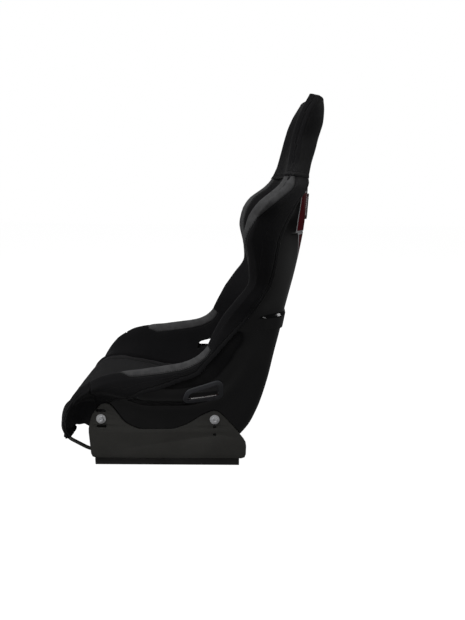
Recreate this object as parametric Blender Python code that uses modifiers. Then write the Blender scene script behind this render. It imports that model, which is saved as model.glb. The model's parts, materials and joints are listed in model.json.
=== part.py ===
"""Racing bucket seat on side brackets and a pair of sliding rails.

The seat faces -Y and stands on z = 0. A one-piece shell carries sewn pads; two steel
brackets bolt to its hips and to the upper rails, which run on rollers in the lower rails.
A towel bar under the front edge turns two comb latches out of the lower rails.
All sizes below are millimetres; the model itself is in metres.
"""

import math

import bmesh
import bpy
from mathutils import Matrix, Vector

MM = 0.001

# ---------------------------------------------------------------- overall sizes
BACK_STRETCH = 1.0        # length of the back above the hips, against the nominal one
HIP_Z = 330.0             # height from which the back is stretched
SHOULDER_HALF = 272.0     # half width over the crests of the shoulder wings
WAIST_HALF = 196.0        # half width at the waist
THIGH_HALF = 226.0        # half width over the thigh bolsters
HEAD_HALF = 108.0         # half width of the head rest
HIP_FLAT = 195.0          # half width of the flat hip walls that take the brackets

# ---------------------------------------------------------------- shell and pads
SHELL_WALL = 4.5          # laminate thickness
PAD_GAP = 0.5             # least clearance between a pad and the laminate
PAD_OFF = 1.5             # nominal distance of a pad from the inside of the laminate
RIM_GAP = 2.0             # clearance over the edge of the laminate
COVER = 6.0               # padding outside the laminate, where a cover wraps the edge
SEAM_GAP = 1.0            # clearance between two neighbouring pads
RIM_DROP = 11.0           # laminate edge below the crest of its pad
CREST = 17.0              # half width of the rolled crest of a bolster

# ---------------------------------------------------------------- harness openings
LAP_SLOT = ((7.0, 203.0), (82.0, 206.0), (82.0, 241.0), (14.0, 220.0))   # y, z corners
SHOULDER_SLOT_X = 72.0    # centre of a shoulder belt slot from the middle
SHOULDER_SLOT_Z = 668.0
SHOULDER_SLOT = (78.0, 46.0)
FRAME_WIDE = 12.0         # width of the frame round a belt slot
FRAME_THICK = 4.0
FRAME_GAP = 0.4           # between a frame and the laminate
PAD_SLOT_GAP = 3.0        # how much wider a slot is in the padding

# ---------------------------------------------------------------- brackets and bolts
PLATE_THICK = 4.0
PLATE_GAP = 0.4           # between the laminate and a bracket
FLANGE_WIDE = 38.0
BOLT_SPACING = 290.0
FRONT_BOLT_Y = -217.0
BOLT_Z = 135.0
HOLE_PITCH = 21.5         # vertical step of the height holes
SLOT_LONG = 25.0          # length of a front slot
BOLT_R = 4.0
BOLT_LONG = 26.0
HOLE_GAP = 0.3            # clearance round a shank or a pin
WASHER_R = 12.5
WASHER_THICK = 2.0
HEAD_R = 7.2
HEAD_TALL = 5.0
INSERT_R = 6.5
INSERT_LONG = 16.0
CONTACT = 0.3             # clearance between two parts that rest on each other

# ---------------------------------------------------------------- rails
RAIL_LENGTH = 378.0
RAIL_Y = -52.0            # middle of the rails
RAIL_X = 172.0            # middle of a rail from the middle of the seat
RAIL_WIDE = 40.0
LOWER_TALL = 20.0
RAIL_WALL = 2.5
LIP = 8.0                 # in-turned lip of a lower rail
UPPER_HALF = 10.5         # half width of the upper rail's box
UPPER_WALL = 2.0
UPPER_TOP = 24.0
FOOT_HALF = 15.5          # half width over the upper rail's feet
FOOT_Z = 9.0              # underside of the feet
FOOT_TALL = 7.5
TRAVEL = 96.0             # slide travel each way
FLOOR_BOLT_R = 4.3
FLOOR_BOLT_Y = 165.0      # floor bolt holes from the middle of a rail
ROLLER_HALF = 7.0         # half length of a roller
ROLLER_Y = 80.0           # rollers from the middle of a rail
CAGE_HALF = 11.0
CAGE_WALL = 1.6
SCREW_Y = 150.0           # bracket screws from the middle of a rail

# ---------------------------------------------------------------- latch and towel bar
BAR_R = 4.75
BAR_X = 139.0             # towel bar arms from the middle
BAR_PIVOT_Y = -60.0
BAR_Z = 13.0
BAR_BEND_Y = -262.0
BAR_FRONT = (-333.0, 54.0)
PIN_R = 3.0
TAB_THICK = 2.5
LATCH_Y = -128.0          # middle of a comb latch
LATCH_LONG = 44.0
TOOTH_PITCH = 12.0
TOOTH_WIDE = 5.0
TOOTH_DEEP = 3.5
TOOTH_GAP = 0.6
COMB_LIFT = 3.0           # underside of a comb above the lip of its lower rail
TEETH = 3


def stretched(z):
    """Height of a nominal height once the back is stretched above the hips."""
    return z if z <= HIP_Z else HIP_Z + (z - HIP_Z) * BACK_STRETCH


def station(bottom, crest, half, crown, corner, flat, flare, pad, seam, hem):
    """One cross-section of the seat, cut on the line from bottom to crest in the side view.

    crown, corner, flat and flare shape the laminate from the middle outwards, as depths
    or (half width, depth) pairs; pad is the depth of the pad's surface in the middle, seam
    the half width where the middle pad meets the bolster, hem how far down the outside of
    the laminate the cover stays bare, as a share of the depth.
    """
    return {
        "bottom": Vector((0.0, bottom[0], stretched(bottom[1]))),
        "crest": Vector((0.0, crest[0], stretched(crest[1]))),
        "values": [half, crown, *corner, *flat, *flare, pad, seam, hem],
    }


FLAT = HIP_FLAT
STATIONS = [
    # bottom       crest         half  crown corner     flat        flare       pad seam hem
    station((-280, 88), (-314, 92), THIGH_HALF - 22, 22, (150, 21), (172, 21), (190, 22), 56, 150, 0.0),
    station((-280, 90), (-319, 114), THIGH_HALF - 19, 28, (158, 26), (178, 27), (196, 28), 62, 154, 0.0),
    station((-276, 92), (-312, 148), THIGH_HALF - 12, 42, (168, 34), (190, 39), (211, 50), 78, 160, 0.0),
    station((-266, 94), (-295, 182), THIGH_HALF - 5, 50, (182, 28), (194, 56), (214, 70), 88, 166, 0.08),
    station((-246, 94), (-260, 226), THIGH_HALF - 2, 46, (FLAT, 6), (FLAT, 100), (226, 114), 93, 170, 0.72),
    station((-205, 90), (-206, 257), THIGH_HALF, 38, (FLAT, 0), (FLAT, 116), (236, 138), 94, 172, 0.63),
    station((-150, 82), (-147, 271), THIGH_HALF - 1, 18, (FLAT, 0), (FLAT, 106), (240, 136), 92, 172, 0.68),
    station((-95, 72), (-109, 275), THIGH_HALF - 3, 4, (FLAT, 0), (FLAT, 98), (242, 138), 92, 170, 0.72),
    station((-30, 63), (-67, 281), THIGH_HALF - 5, 0, (FLAT, 0), (FLAT, 104), (242, 150), 92, 168, 0.77),
    station((50, 57), (-28, 287), THIGH_HALF - 7, 0, (FLAT, 0), (FLAT, 118), (240, 160), 92, 166, 0.82),
    station((118, 66), (-8, 291), THIGH_HALF - 8, 0, (FLAT, 0), (FLAT, 128), (238, 172), 92, 164, 0.84),
    station((160, 108), (12, 297), THIGH_HALF - 12, 0, (FLAT, 0), (FLAT, 110), (236, 154), 84, 160, 0.83),
    station((188, 168), (34, 309), THIGH_HALF - 16, 0, (193, 0), (194, 82), (230, 126), 72, 154, 0.80),
    station((209, 235), (52, 327), WAIST_HALF + 10, 0, (184, 0), (191, 60), (223, 104), 64, 146, 0.76),
    station((226, 300), (62, 348), WAIST_HALF + 5, 0, (172, 2), (188, 50), (216, 94), 60, 138, 0.71),
    station((243, 362), (76, 376), WAIST_HALF, 0, (160, 4), (182, 45), (208, 90), 58, 132, 0.65),
    station((254, 412), (96, 411), WAIST_HALF + 6, 0, (150, 5), (182, 42), (208, 86), 55, 130, 0.59),
    station((264, 450), (124, 450), WAIST_HALF + 16, 0, (146, 6), (190, 42), (220, 80), 52, 130, 0.56),
    station((275, 495), (153, 492), WAIST_HALF + 23, 0, (142, 6), (188, 38), (218, 72), 49, 130, 0.55),
    station((286, 545), (150, 545), SHOULDER_HALF - 32, 0, (140, 7), (200, 44), (238, 84), 46, 132, 0.51),
    station((296, 600), (139, 600), SHOULDER_HALF - 13, 0, (140, 8), (212, 50), (254, 98), 44, 134, 0.46),
    station((301, 645), (149, 648), SHOULDER_HALF - 6, 0, (138, 8), (214, 50), (258, 96), 42, 132, 0.38),
    station((303, 680), (171, 681), SHOULDER_HALF, 0, (135, 8), (214, 44), (262, 84), 42, 128, 0.32),
    station((304, 712), (213, 714), SHOULDER_HALF - 34, 0, (128, 6), (190, 30), (230, 58), 40, 112, 0.20),
    station((300, 738), (235, 741), SHOULDER_HALF - 77, 0, (112, 5), (152, 22), (186, 45), 40, 96, 0.0),
    station((303, 768), (246, 768), HEAD_HALF + 44, 0, (96, 4), (124, 18), (146, 40), 40, 84, 0.0),
    station((311, 800), (253, 800), HEAD_HALF + 18, 0, (84, 4), (104, 18), (120, 40), 42, 76, 0.0),
    station((319, 832), (259, 830), HEAD_HALF, 0, (74, 4), (92, 18), (104, 40), 44, 70, 0.0),
    station((329, 868), (270, 870), HEAD_HALF - 4, 0, (72, 4), (90, 16), (101, 38), 44, 68, 0.0),
    station((331, 900), (283, 901), HEAD_HALF - 9, 0, (68, 4), (86, 14), (96, 31), 39, 64, 0.0),
    station((330, 924), (300, 930), HEAD_HALF - 24, 0, (52, 3), (70, 9), (80, 19), 27, 48, 0.0),
]
SIDES = (1, "left"), (-1, "right")
NECK = 24                 # the station where the bolsters and the back pad end
BITE = 11                 # the station where the seat cushion meets the back pad


# ---------------------------------------------------------------- scene helpers
def clear_scene():
    for obj in list(bpy.data.objects):
        bpy.data.objects.remove(obj)


def new_collection(name):
    made = bpy.data.collections.new(name)
    bpy.context.scene.collection.children.link(made)
    return made


def material(name, colour, roughness, metallic=0.0):
    made = bpy.data.materials.new(name)
    made.use_nodes = True
    shader = made.node_tree.nodes["Principled BSDF"]
    shader.inputs["Base Color"].default_value = (*colour, 1.0)
    shader.inputs["Roughness"].default_value = roughness
    shader.inputs["Metallic"].default_value = metallic
    return made


def place(obj, name, finish, collection):
    """Names an object, gives it its finish and puts it in its collection."""
    obj.name = name
    obj.data.name = name
    for home in list(obj.users_collection):
        home.objects.unlink(obj)
    collection.objects.link(obj)
    if finish is not None:
        obj.data.materials.append(finish)
    return obj


def from_bmesh(bm, name, finish, collection):
    mesh = bpy.data.meshes.new(name)
    bm.to_mesh(mesh)
    bm.free()
    return place(bpy.data.objects.new(name, mesh), name, finish, collection)


def as_cutter(obj):
    obj.hide_render = True
    obj.display_type = "WIRE"
    return obj


def boolean(obj, other, operation="DIFFERENCE"):
    modifier = obj.modifiers.new(other.name, "BOOLEAN")
    modifier.operation = operation
    modifier.solver = "EXACT"
    modifier.object = other
    return obj


def smooth(obj, angle=35.0):
    obj.data.shade_smooth()
    obj.data.set_sharp_from_angle(angle=math.radians(angle))
    return obj


def box(name, low, high, finish, collection):
    """A block between two corners, in millimetres."""
    low, high = Vector(low) * MM, Vector(high) * MM
    bm = bmesh.new()
    bmesh.ops.create_cube(bm, size=1.0)
    bmesh.ops.scale(bm, verts=bm.verts, vec=high - low)
    bmesh.ops.translate(bm, verts=bm.verts, vec=(low + high) / 2)
    return from_bmesh(bm, name, finish, collection)


def turned(name, start, end, radius, finish, collection, sides=16):
    """A round bar between two points, in millimetres."""
    start, end = Vector(start) * MM, Vector(end) * MM
    bm = bmesh.new()
    bmesh.ops.create_cone(
        bm, cap_ends=True, segments=sides, radius1=radius * MM, radius2=radius * MM,
        depth=(end - start).length,
    )
    turn = (end - start).to_track_quat("Z", "Y").to_matrix().to_4x4()
    bmesh.ops.transform(bm, verts=bm.verts, matrix=Matrix.Translation((start + end) / 2) @ turn)
    return smooth(from_bmesh(bm, name, finish, collection))


# ---------------------------------------------------------------- outlines and lofts
def arc(centre, radius, start, end, steps):
    """Points of an arc, angles in degrees."""
    return [
        (
            centre[0] + radius * math.cos(math.radians(start + (end - start) * i / steps)),
            centre[1] + radius * math.sin(math.radians(start + (end - start) * i / steps)),
        )
        for i in range(steps + 1)
    ]


def rounded(points, setback, steps=3, closed=False):
    """A polyline whose corners are replaced by short parabolas; the ends stay when it is open."""
    points = [Vector(p) for p in points]
    count = len(points)
    out = [] if closed else [points[0]]
    corners = range(count) if closed else range(1, count - 1)
    for i in corners:
        here, before, after = points[i], points[i - 1], points[(i + 1) % count]
        back = min(setback, (before - here).length * 0.48)
        on = min(setback, (after - here).length * 0.48)
        start = here + (before - here).normalized() * back
        end = here + (after - here).normalized() * on
        for k in range(steps + 1):
            t = k / steps
            out.append(start * (1 - t) ** 2 + here * (2 * t * (1 - t)) + end * t ** 2)
    return out if closed else out + [points[-1]]


def offset(points, distance):
    """An open polyline moved sideways, to the left of its own direction."""
    out = []
    for i, here in enumerate(points):
        along = points[min(i + 1, len(points) - 1)] - points[max(i - 1, 0)]
        side = Vector((-along.y, along.x)).normalized()
        out.append(here + side * distance)
    return out


def resampled(points, count):
    """The same polyline as count points, evenly spaced along it."""
    lengths = [0.0]
    for a, b in zip(points, points[1:]):
        lengths.append(lengths[-1] + (b - a).length)
    out, k = [], 0
    for i in range(count):
        want = lengths[-1] * i / (count - 1)
        while k < len(points) - 2 and lengths[k + 1] < want:
            k += 1
        share = (want - lengths[k]) / max(lengths[k + 1] - lengths[k], 1e-9)
        out.append(points[k].lerp(points[k + 1], share))
    return out


def part_of(points, first, last):
    """The stretch of a polyline between two shares of its length."""
    dense = resampled(points, 121)
    return dense[round(first * 120): round(last * 120) + 1]


def plate(name, outline, holes, low, high, axis, finish, collection):
    """A flat plate from low to high along axis, its outline and holes given in the other two axes."""
    curve = bpy.data.curves.new(name, "CURVE")
    curve.dimensions = "2D"
    curve.fill_mode = "BOTH"
    curve.extrude = (high - low) / 2 * MM
    for loop in [outline, *holes]:
        spline = curve.splines.new("POLY")
        spline.points.add(len(loop) - 1)
        for point, (u, v) in zip(spline.points, loop):
            point.co = (u * MM, v * MM, 0.0, 1.0)
        spline.use_cyclic_u = True
    flat = bpy.data.objects.new(name, curve)
    collection.objects.link(flat)
    bpy.context.view_layer.update()
    mesh = bpy.data.meshes.new_from_object(flat.evaluated_get(bpy.context.evaluated_depsgraph_get()))
    bpy.data.objects.remove(flat)
    bm = bmesh.new()
    bm.from_mesh(mesh)
    bpy.data.meshes.remove(mesh)
    bmesh.ops.remove_doubles(bm, verts=bm.verts, dist=1e-6)
    middle = (low + high) / 2 * MM
    if axis == "X":       # the outline is in y and z
        turn = Matrix(((0, 0, 1, middle), (1, 0, 0, 0), (0, 1, 0, 0), (0, 0, 0, 1)))
    elif axis == "Y":     # the outline is in x and z
        turn = Matrix(((1, 0, 0, 0), (0, 0, -1, middle), (0, 1, 0, 0), (0, 0, 0, 1)))
    else:
        turn = Matrix.Translation((0, 0, middle))
    bmesh.ops.transform(bm, verts=bm.verts, matrix=turn)
    bmesh.ops.recalc_face_normals(bm, faces=bm.faces)
    return from_bmesh(bm, name, finish, collection)


def loft(name, rings, finish, collection):
    """A closed solid through rings of equal count, capped at both ends."""
    bm = bmesh.new()
    rows = [[bm.verts.new(point * MM) for point in ring] for ring in rings]
    for row, after in zip(rows, rows[1:]):
        for i in range(len(row)):
            j = (i + 1) % len(row)
            bm.faces.new((row[i], row[j], after[j], after[i]))
    bm.faces.new(rows[0])
    bm.faces.new(rows[-1])
    bmesh.ops.triangulate(bm, faces=[f for f in bm.faces if len(f.verts) > 4])
    bmesh.ops.recalc_face_normals(bm, faces=bm.faces)
    return smooth(from_bmesh(bm, name, finish, collection))


def sheet(name, rows, finish, collection):
    """An open surface through rows of equal count."""
    bm = bmesh.new()
    grid = [[bm.verts.new(point * MM) for point in row] for row in rows]
    for row, after in zip(grid, grid[1:]):
        for i in range(len(row) - 1):
            a, b, c, d = row[i], row[i + 1], after[i + 1], after[i]
            if 2 * i < len(row) - 1:
                a, b, c, d = b, c, d, a
            bm.faces.new((a, b, c))
            bm.faces.new((a, c, d))
    return smooth(from_bmesh(bm, name, finish, collection))


# ---------------------------------------------------------------- cross-sections of the seat
class Section:
    """A station's cross-section: half of it, as (half width, depth) points."""

    def __init__(self, made):
        half, crown, x2, h2, x3, h3, x4, h4, pad, seam, hem = made["values"]
        self.bottom, self.crest = made["bottom"], made["crest"]
        self.deep = (self.crest - self.bottom).length
        self.up = (self.crest - self.bottom).normalized()
        self.half, self.crown, self.pad, self.seam, self.hem = half, crown, pad, seam, hem
        self.corner, self.flat, self.flare = (x2, h2), (x3, h3), (x4, h4)

    def at(self, x, depth):
        return Vector((x, 0, 0)) + self.bottom + self.up * depth

    def laminate(self):
        """The outside of the laminate from the middle to its edge."""
        edge = (self.half + 5.0, self.deep - RIM_DROP)
        raised = self.crown > self.corner[1] + 2.0
        floor = (self.corner[0] * (0.72 if raised else 0.5), self.crown)
        return rounded([(0.0, self.crown), floor, self.corner, self.flat, self.flare, edge], 26.0, 2)

    def inside(self):
        """The back of the padding, a little off the inside of the laminate."""
        return offset(self.laminate(), SHELL_WALL + PAD_OFF)

    def outside(self):
        """The outside of the cover where it wraps the laminate."""
        return offset(self.laminate(), -COVER)

    def seam_share(self):
        """Where along the laminate the seam between middle pad and bolster lies."""
        dense = resampled(self.inside(), 121)
        return next(i for i, p in enumerate(dense) if p.x >= self.seam) / 120

    def hem_share(self):
        dense = resampled(self.laminate(), 121)
        return next(i for i, p in enumerate(dense) if p.y >= self.hem * self.deep or i == 120) / 120

    def bolster_ring(self):
        """The bolster's own outline: up its inner face, over the crest, down the outside."""
        base = Vector((self.seam + SEAM_GAP / 2, self.pad))
        inner = Vector((self.half - CREST, self.deep - 5.0))
        lower = base.lerp(inner, 0.45) + Vector((6.0, -4.0))
        crest = [base, lower, inner, Vector((self.half - 2.0, self.deep))]
        last = self.seam_share()
        first = max(self.hem_share(), last + 0.02)
        outside = part_of(self.outside(), first, 0.985)[::-1]
        visible = resampled(rounded(crest + [outside[0]], 12.0, 3), 11) + resampled(outside[1:], 6)
        hidden = part_of(self.inside(), last, first)[::-1]
        return visible + resampled(hidden, 14)

    def pad_half(self):
        """Half of the middle pad's outline, from the top in the middle to the underside."""
        edge = self.seam - SEAM_GAP / 2
        base = self.outside() if self.hem < 0.1 and self.crown > 20.0 else self.inside()
        under = resampled([p for p in resampled(base, 161) if p.x < edge], 10)
        top = rounded([(0.0, self.pad), (edge * 0.75, self.pad), (edge, self.pad - 2.0)], 30.0)
        return resampled(top, 7) + under[::-1]

    def head_half(self):
        """Half of the head cover's outline, from the front in the middle to the back."""
        front = [(0.0, self.pad), (self.seam, self.pad), (self.half - CREST, self.deep - 4.0)]
        behind = self.outside()[::-1]
        loop = rounded(front + [(self.half, self.deep), behind[0]], 12.0, 2)
        return resampled(loop, 12) + resampled(behind[1:], 7)

    def whole(self, half):
        """A closed outline from its half, which starts and ends in the middle."""
        return [self.at(p.x, p.y) for p in half] + [self.at(-p.x, p.y) for p in half[-2:0:-1]]


def between(a, b, share):
    """A station part of the way from one to the next."""
    mixed = [u + (v - u) * share for u, v in zip(a["values"], b["values"])]
    return {
        "bottom": a["bottom"].lerp(b["bottom"], share),
        "crest": a["crest"].lerp(b["crest"], share),
        "values": mixed,
    }


def sections(first, last):
    """Sections from one station to another; either may lie between two stations."""
    places = [first, *[i for i in range(len(STATIONS)) if first < i < last], last]
    out = []
    for place_ in places:
        low = min(int(place_), len(STATIONS) - 2)
        out.append(Section(between(STATIONS[low], STATIONS[low + 1], place_ - low)))
    return out


def both_sides(section, points):
    """A half outline and its mirror image, joined in the middle."""
    mirrored = [section.at(-p.x, p.y) for p in points[:0:-1]]
    return mirrored + [section.at(p.x, p.y) for p in points]


def domed(rings, away, share=0.55):
    """The rings with two more before the first, drawn in and moved away to round the end off."""
    first = rings[0]
    centre = sum(first, Vector()) / len(first)
    brim = [centre + (p - centre) * 0.93 + away * share for p in first]
    tip = [centre + (p - centre) * 0.55 + away for p in first]
    return [tip, brim, *rings]


def grown(points, distance):
    """A convex outline, counter-clockwise, with every side moved out."""
    points = [Vector(p) for p in points]
    out = []
    for i, here in enumerate(points):
        before = (here - points[i - 1]).normalized()
        after = (points[(i + 1) % len(points)] - here).normalized()
        normals = Vector((before.y, -before.x)), Vector((after.y, -after.x))
        share = distance / (1.0 + normals[0].dot(normals[1]))
        out.append(here + (normals[0] + normals[1]) * share)
    return out


def window(centre, size):
    """The corners of a rectangle."""
    u, v = size[0] / 2, size[1] / 2
    return [(centre[0] + a * u, centre[1] + b * v) for a, b in ((-1, -1), (1, -1), (1, 1), (-1, 1))]


# ---------------------------------------------------------------- shell, pads and frames
def run_past(end, inner, distance):
    """A point beyond the end of a line."""
    return end + (end - inner).normalized() * distance


def skin(name, low, high, first, last, finish, collection, run_on=0.0):
    """A solid that follows the laminate, from low to high outside its outer face."""
    chosen = sections(first, last)
    rows = [both_sides(s, s.laminate()) for s in chosen]
    if run_on:
        rows = [
            [run_past(row[0], row[1], run_on), *row, run_past(row[-1], row[-2], run_on)] for row in rows
        ]
        front = [run_past(p, q, run_on) for p, q in zip(rows[0], rows[1])]
        back = [run_past(p, q, run_on) for p, q in zip(rows[-1], rows[-2])]
        rows = [front, *rows, back]
    obj = sheet(name, rows, finish, collection)
    wall = obj.modifiers.new("wall", "SOLIDIFY")
    wall.thickness = (high - low) * MM
    wall.offset = -2.0 * low / (high - low) - 1.0
    wall.use_even_offset = True
    return obj


def lap_prism(name, side, growth, cutters):
    outline = rounded(grown(LAP_SLOT, growth), 4.0 + growth, closed=True)
    low, high = sorted((side * 120.0, side * 300.0))
    return as_cutter(plate(name, outline, [], low, high, "X", None, cutters))


def shoulder_prism(name, side, growth, cutters):
    corners = window((side * SHOULDER_SLOT_X, SHOULDER_SLOT_Z), SHOULDER_SLOT)
    outline = rounded(grown(corners, growth), 9.0 + growth, closed=True)
    return as_cutter(plate(name, outline, [], 180.0, 360.0, "Y", None, cutters))


def belt_frame(name, prism, inner, stations, finish, seat, cutters):
    """A rubber frame round a belt slot, following the laminate."""
    frame = skin(name, FRAME_GAP, FRAME_GAP + FRAME_THICK, *stations, finish, seat)
    boolean(frame, prism, "INTERSECT")
    return boolean(frame, inner)


def shell_and_pads(seat, cutters, finishes):
    last = len(STATIONS) - 1
    shell = skin("shell", -SHELL_WALL, 0.0, 0, last, finishes["gel"], seat)
    clearance = as_cutter(
        skin("shell_clearance", -SHELL_WALL - PAD_GAP, PAD_GAP, 0, last, None, cutters, RIM_GAP)
    )
    cloth = finishes["cloth"]
    dome = Vector((0, -2.0, -9.0))
    rings = [s.whole(s.pad_half()) for s in sections(0, BITE - 0.1)]
    pads = [loft("seat_cushion", domed(rings, dome), cloth, seat)]
    rings = [s.whole(s.pad_half()) for s in sections(BITE, NECK)]
    pads.append(loft("back_cushion", rings, cloth, seat))
    rings = [[s.at(p.x, p.y) for p in s.bolster_ring()] for s in sections(0, NECK)]
    pads.append(loft("side_bolster_left", domed(rings, dome), finishes["suede"], seat))
    rings = [s.whole(s.head_half()) for s in sections(NECK + 0.06, last)][::-1]
    pads.append(loft("head_cover", domed(rings, Vector((0, 2.0, 18.0))), cloth, seat))
    for pad in pads:
        boolean(pad, clearance)
    boolean(pads[2], shell)
    back_cushion, bolster = pads[1:3]
    for side, word in SIDES:
        slot = lap_prism("lap_slot_" + word, side, 0.0, cutters)
        rim = lap_prism("lap_frame_edge_" + word, side, FRAME_WIDE, cutters)
        boolean(shell, slot)
        belt_frame("lap_belt_frame_" + word, rim, slot, (8, 13), finishes["rubber"], seat, cutters)
        slot = shoulder_prism("shoulder_slot_" + word, side, 0.0, cutters)
        wide = shoulder_prism("shoulder_slot_in_pad_" + word, side, PAD_SLOT_GAP, cutters)
        rim = shoulder_prism("shoulder_frame_edge_" + word, side, FRAME_WIDE * 0.7, cutters)
        boolean(shell, slot)
        boolean(back_cushion, wide)
        belt_frame("shoulder_belt_frame_" + word, rim, slot, (19, 24), finishes["silver"], seat, cutters)
    boolean(bolster, lap_prism("lap_slot_in_pad", 1, PAD_SLOT_GAP, cutters))
    return shell, bolster


# ---------------------------------------------------------------- brackets and fasteners
def bracket_outline():
    front, rear = FRONT_BOLT_Y, FRONT_BOLT_Y + BOLT_SPACING
    low = UPPER_TOP + CONTACT
    top = BOLT_Z
    return rounded(
        [
            (front - 31, low), (front - 35, top - 28), (front - 23, top + 12), (front + 4, top + 43),
            (front + 24, top + 41), (front + 60, top - 12), (front + 93, top - 30), (rear - 103, top - 29),
            (rear - 66, top - 13), (rear - 34, top + 10), (rear, top + 25), (rear + 14, top + 17),
            (rear + 50, top - 22), (rear + 82, top - 64), (rear + 81, low),
        ][::-1],
        12.0, 2, closed=True,
    )


def brackets(seat, cutters, finishes, shell, bolster):
    for side, word in SIDES:
        inner = HIP_FLAT + PLATE_GAP
        outer = inner + PLATE_THICK
        low, high = sorted((side * inner, side * outer))
        front, rear = FRONT_BOLT_Y, FRONT_BOLT_Y + BOLT_SPACING
        hole_r = BOLT_R + HOLE_GAP
        holes = []
        for step in (1, 0, -1):
            corners = window((front, BOLT_Z + step * HOLE_PITCH), (SLOT_LONG, 2 * hole_r))
            holes.append(rounded(corners, hole_r * 0.9, 2, closed=True))
        for step in (0, -1, -2):
            holes.append(arc((rear, BOLT_Z + step * HOLE_PITCH), hole_r, 0, 337.5, 15))
        name = "side_bracket_" + word
        bracket = plate(name, bracket_outline(), holes, low, high, "X", finishes["powder"], seat)
        edge = bracket_outline()
        ends = [y for y, z in edge if z < UPPER_TOP + CONTACT + 0.01]
        base = UPPER_TOP + CONTACT
        x = sorted((side * (outer - FLANGE_WIDE), side * (outer - 0.5)))
        flange = box(
            "flange_" + word, (x[0], min(ends) + 2, base), (x[1], max(ends) - 2, base + PLATE_THICK),
            None, cutters,
        )
        boolean(bracket, as_cutter(flange), "UNION")
        for place_, y in (("front", RAIL_Y - SCREW_Y), ("rear", RAIL_Y + SCREW_Y)):
            screw_hole = turned(
                "screw_hole_%s_%s" % (place_, word), (side * RAIL_X, y, 15.0), (side * RAIL_X, y, 40.0),
                hole_r, None, cutters,
            )
            boolean(bracket, as_cutter(screw_hole))
            boolean(bpy.data.objects["upper_rail_" + word], screw_hole)
            top = base + PLATE_THICK + CONTACT
            rail_screw("rail_screw_%s_%s" % (place_, word), side, y, top, finishes["zinc"], seat, cutters)
        for place_, y in (("front", front), ("rear", rear)):
            tag = "_%s_%s" % (place_, word)
            washer = turned(
                "washer" + tag, (side * (outer + CONTACT), y, BOLT_Z),
                (side * (outer + CONTACT + WASHER_THICK), y, BOLT_Z), WASHER_R, finishes["zinc"], seat, 24,
            )
            hole = as_cutter(
                turned("bolt_hole" + tag, (side * 150.0, y, BOLT_Z), (side * 260.0, y, BOLT_Z),
                       hole_r, None, cutters)
            )
            boolean(washer, hole)
            face = outer + CONTACT * 2 + WASHER_THICK
            bolt = turned(
                "side_bolt" + tag, (side * (face - BOLT_LONG), y, BOLT_Z), (side * (face + 1.0), y, BOLT_Z),
                BOLT_R, finishes["zinc"], seat,
            )
            head = turned(
                "bolt_head" + tag, (side * face, y, BOLT_Z), (side * (face + HEAD_TALL), y, BOLT_Z),
                HEAD_R, None, cutters, 20,
            )
            boolean(bolt, as_cutter(head), "UNION")
            socket = turned(
                "bolt_socket" + tag, (side * (face + 2.0), y, BOLT_Z), (side * (face + 20), y, BOLT_Z),
                3.4, None, cutters, 6,
            )
            boolean(bolt, as_cutter(socket))
            insert = turned(
                "threaded_insert" + tag, (side * HIP_FLAT, y, BOLT_Z),
                (side * (HIP_FLAT - INSERT_LONG), y, BOLT_Z), INSERT_R, finishes["zinc"], seat,
            )
            boolean(insert, hole)
            pocket = turned(
                "insert_pocket" + tag, (side * (HIP_FLAT + 20), y, BOLT_Z),
                (side * (face - BOLT_LONG - 2.0), y, BOLT_Z), INSERT_R + HOLE_GAP, None, cutters,
            )
            as_cutter(pocket)
            boolean(shell, pocket)
            if side > 0:
                boolean(bolster, pocket)


def rail_screw(name, side, y, top, finish, seat, cutters):
    """A screw with a low round head that holds a bracket's flange to its upper rail."""
    x = side * RAIL_X
    screw = turned(name, (x, y, top + 1.0), (x, y, UPPER_TOP - 7.0), BOLT_R, finish, seat)
    head = turned(name + "_head", (x, y, top), (x, y, top + HEAD_TALL - 1.0), HEAD_R, None, cutters, 20)
    boolean(screw, as_cutter(head), "UNION")
    socket = turned(name + "_socket", (x, y, top + 1.6), (x, y, top + 20), 3.0, None, cutters, 6)
    boolean(screw, as_cutter(socket))


# ---------------------------------------------------------------- rails, rollers and cages
def lower_section(x):
    half, wall = RAIL_WIDE / 2, RAIL_WALL
    right = [
        (half - 1.5, 0.0), (half, 1.5), (half, LOWER_TALL - 1.5), (half - 1.5, LOWER_TALL),
        (half - LIP, LOWER_TALL), (half - LIP, LOWER_TALL - wall), (half - wall, LOWER_TALL - wall),
        (half - wall, wall),
    ]
    return [(x + u, v) for u, v in right] + [(x - u, v) for u, v in right[::-1]]


def upper_section(x):
    wall = UPPER_WALL
    right = [
        (UPPER_HALF - wall, UPPER_TOP - wall), (UPPER_HALF - wall, FOOT_Z), (FOOT_HALF, FOOT_Z),
        (FOOT_HALF, FOOT_Z + FOOT_TALL), (FOOT_HALF - wall, FOOT_Z + FOOT_TALL),
        (FOOT_HALF - wall, FOOT_Z + wall), (UPPER_HALF, FOOT_Z + wall), (UPPER_HALF, UPPER_TOP - 1.0),
        (UPPER_HALF - 1.0, UPPER_TOP),
    ]
    return [(x + u, v) for u, v in right] + [(x - u, v) for u, v in right[::-1]]


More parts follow.
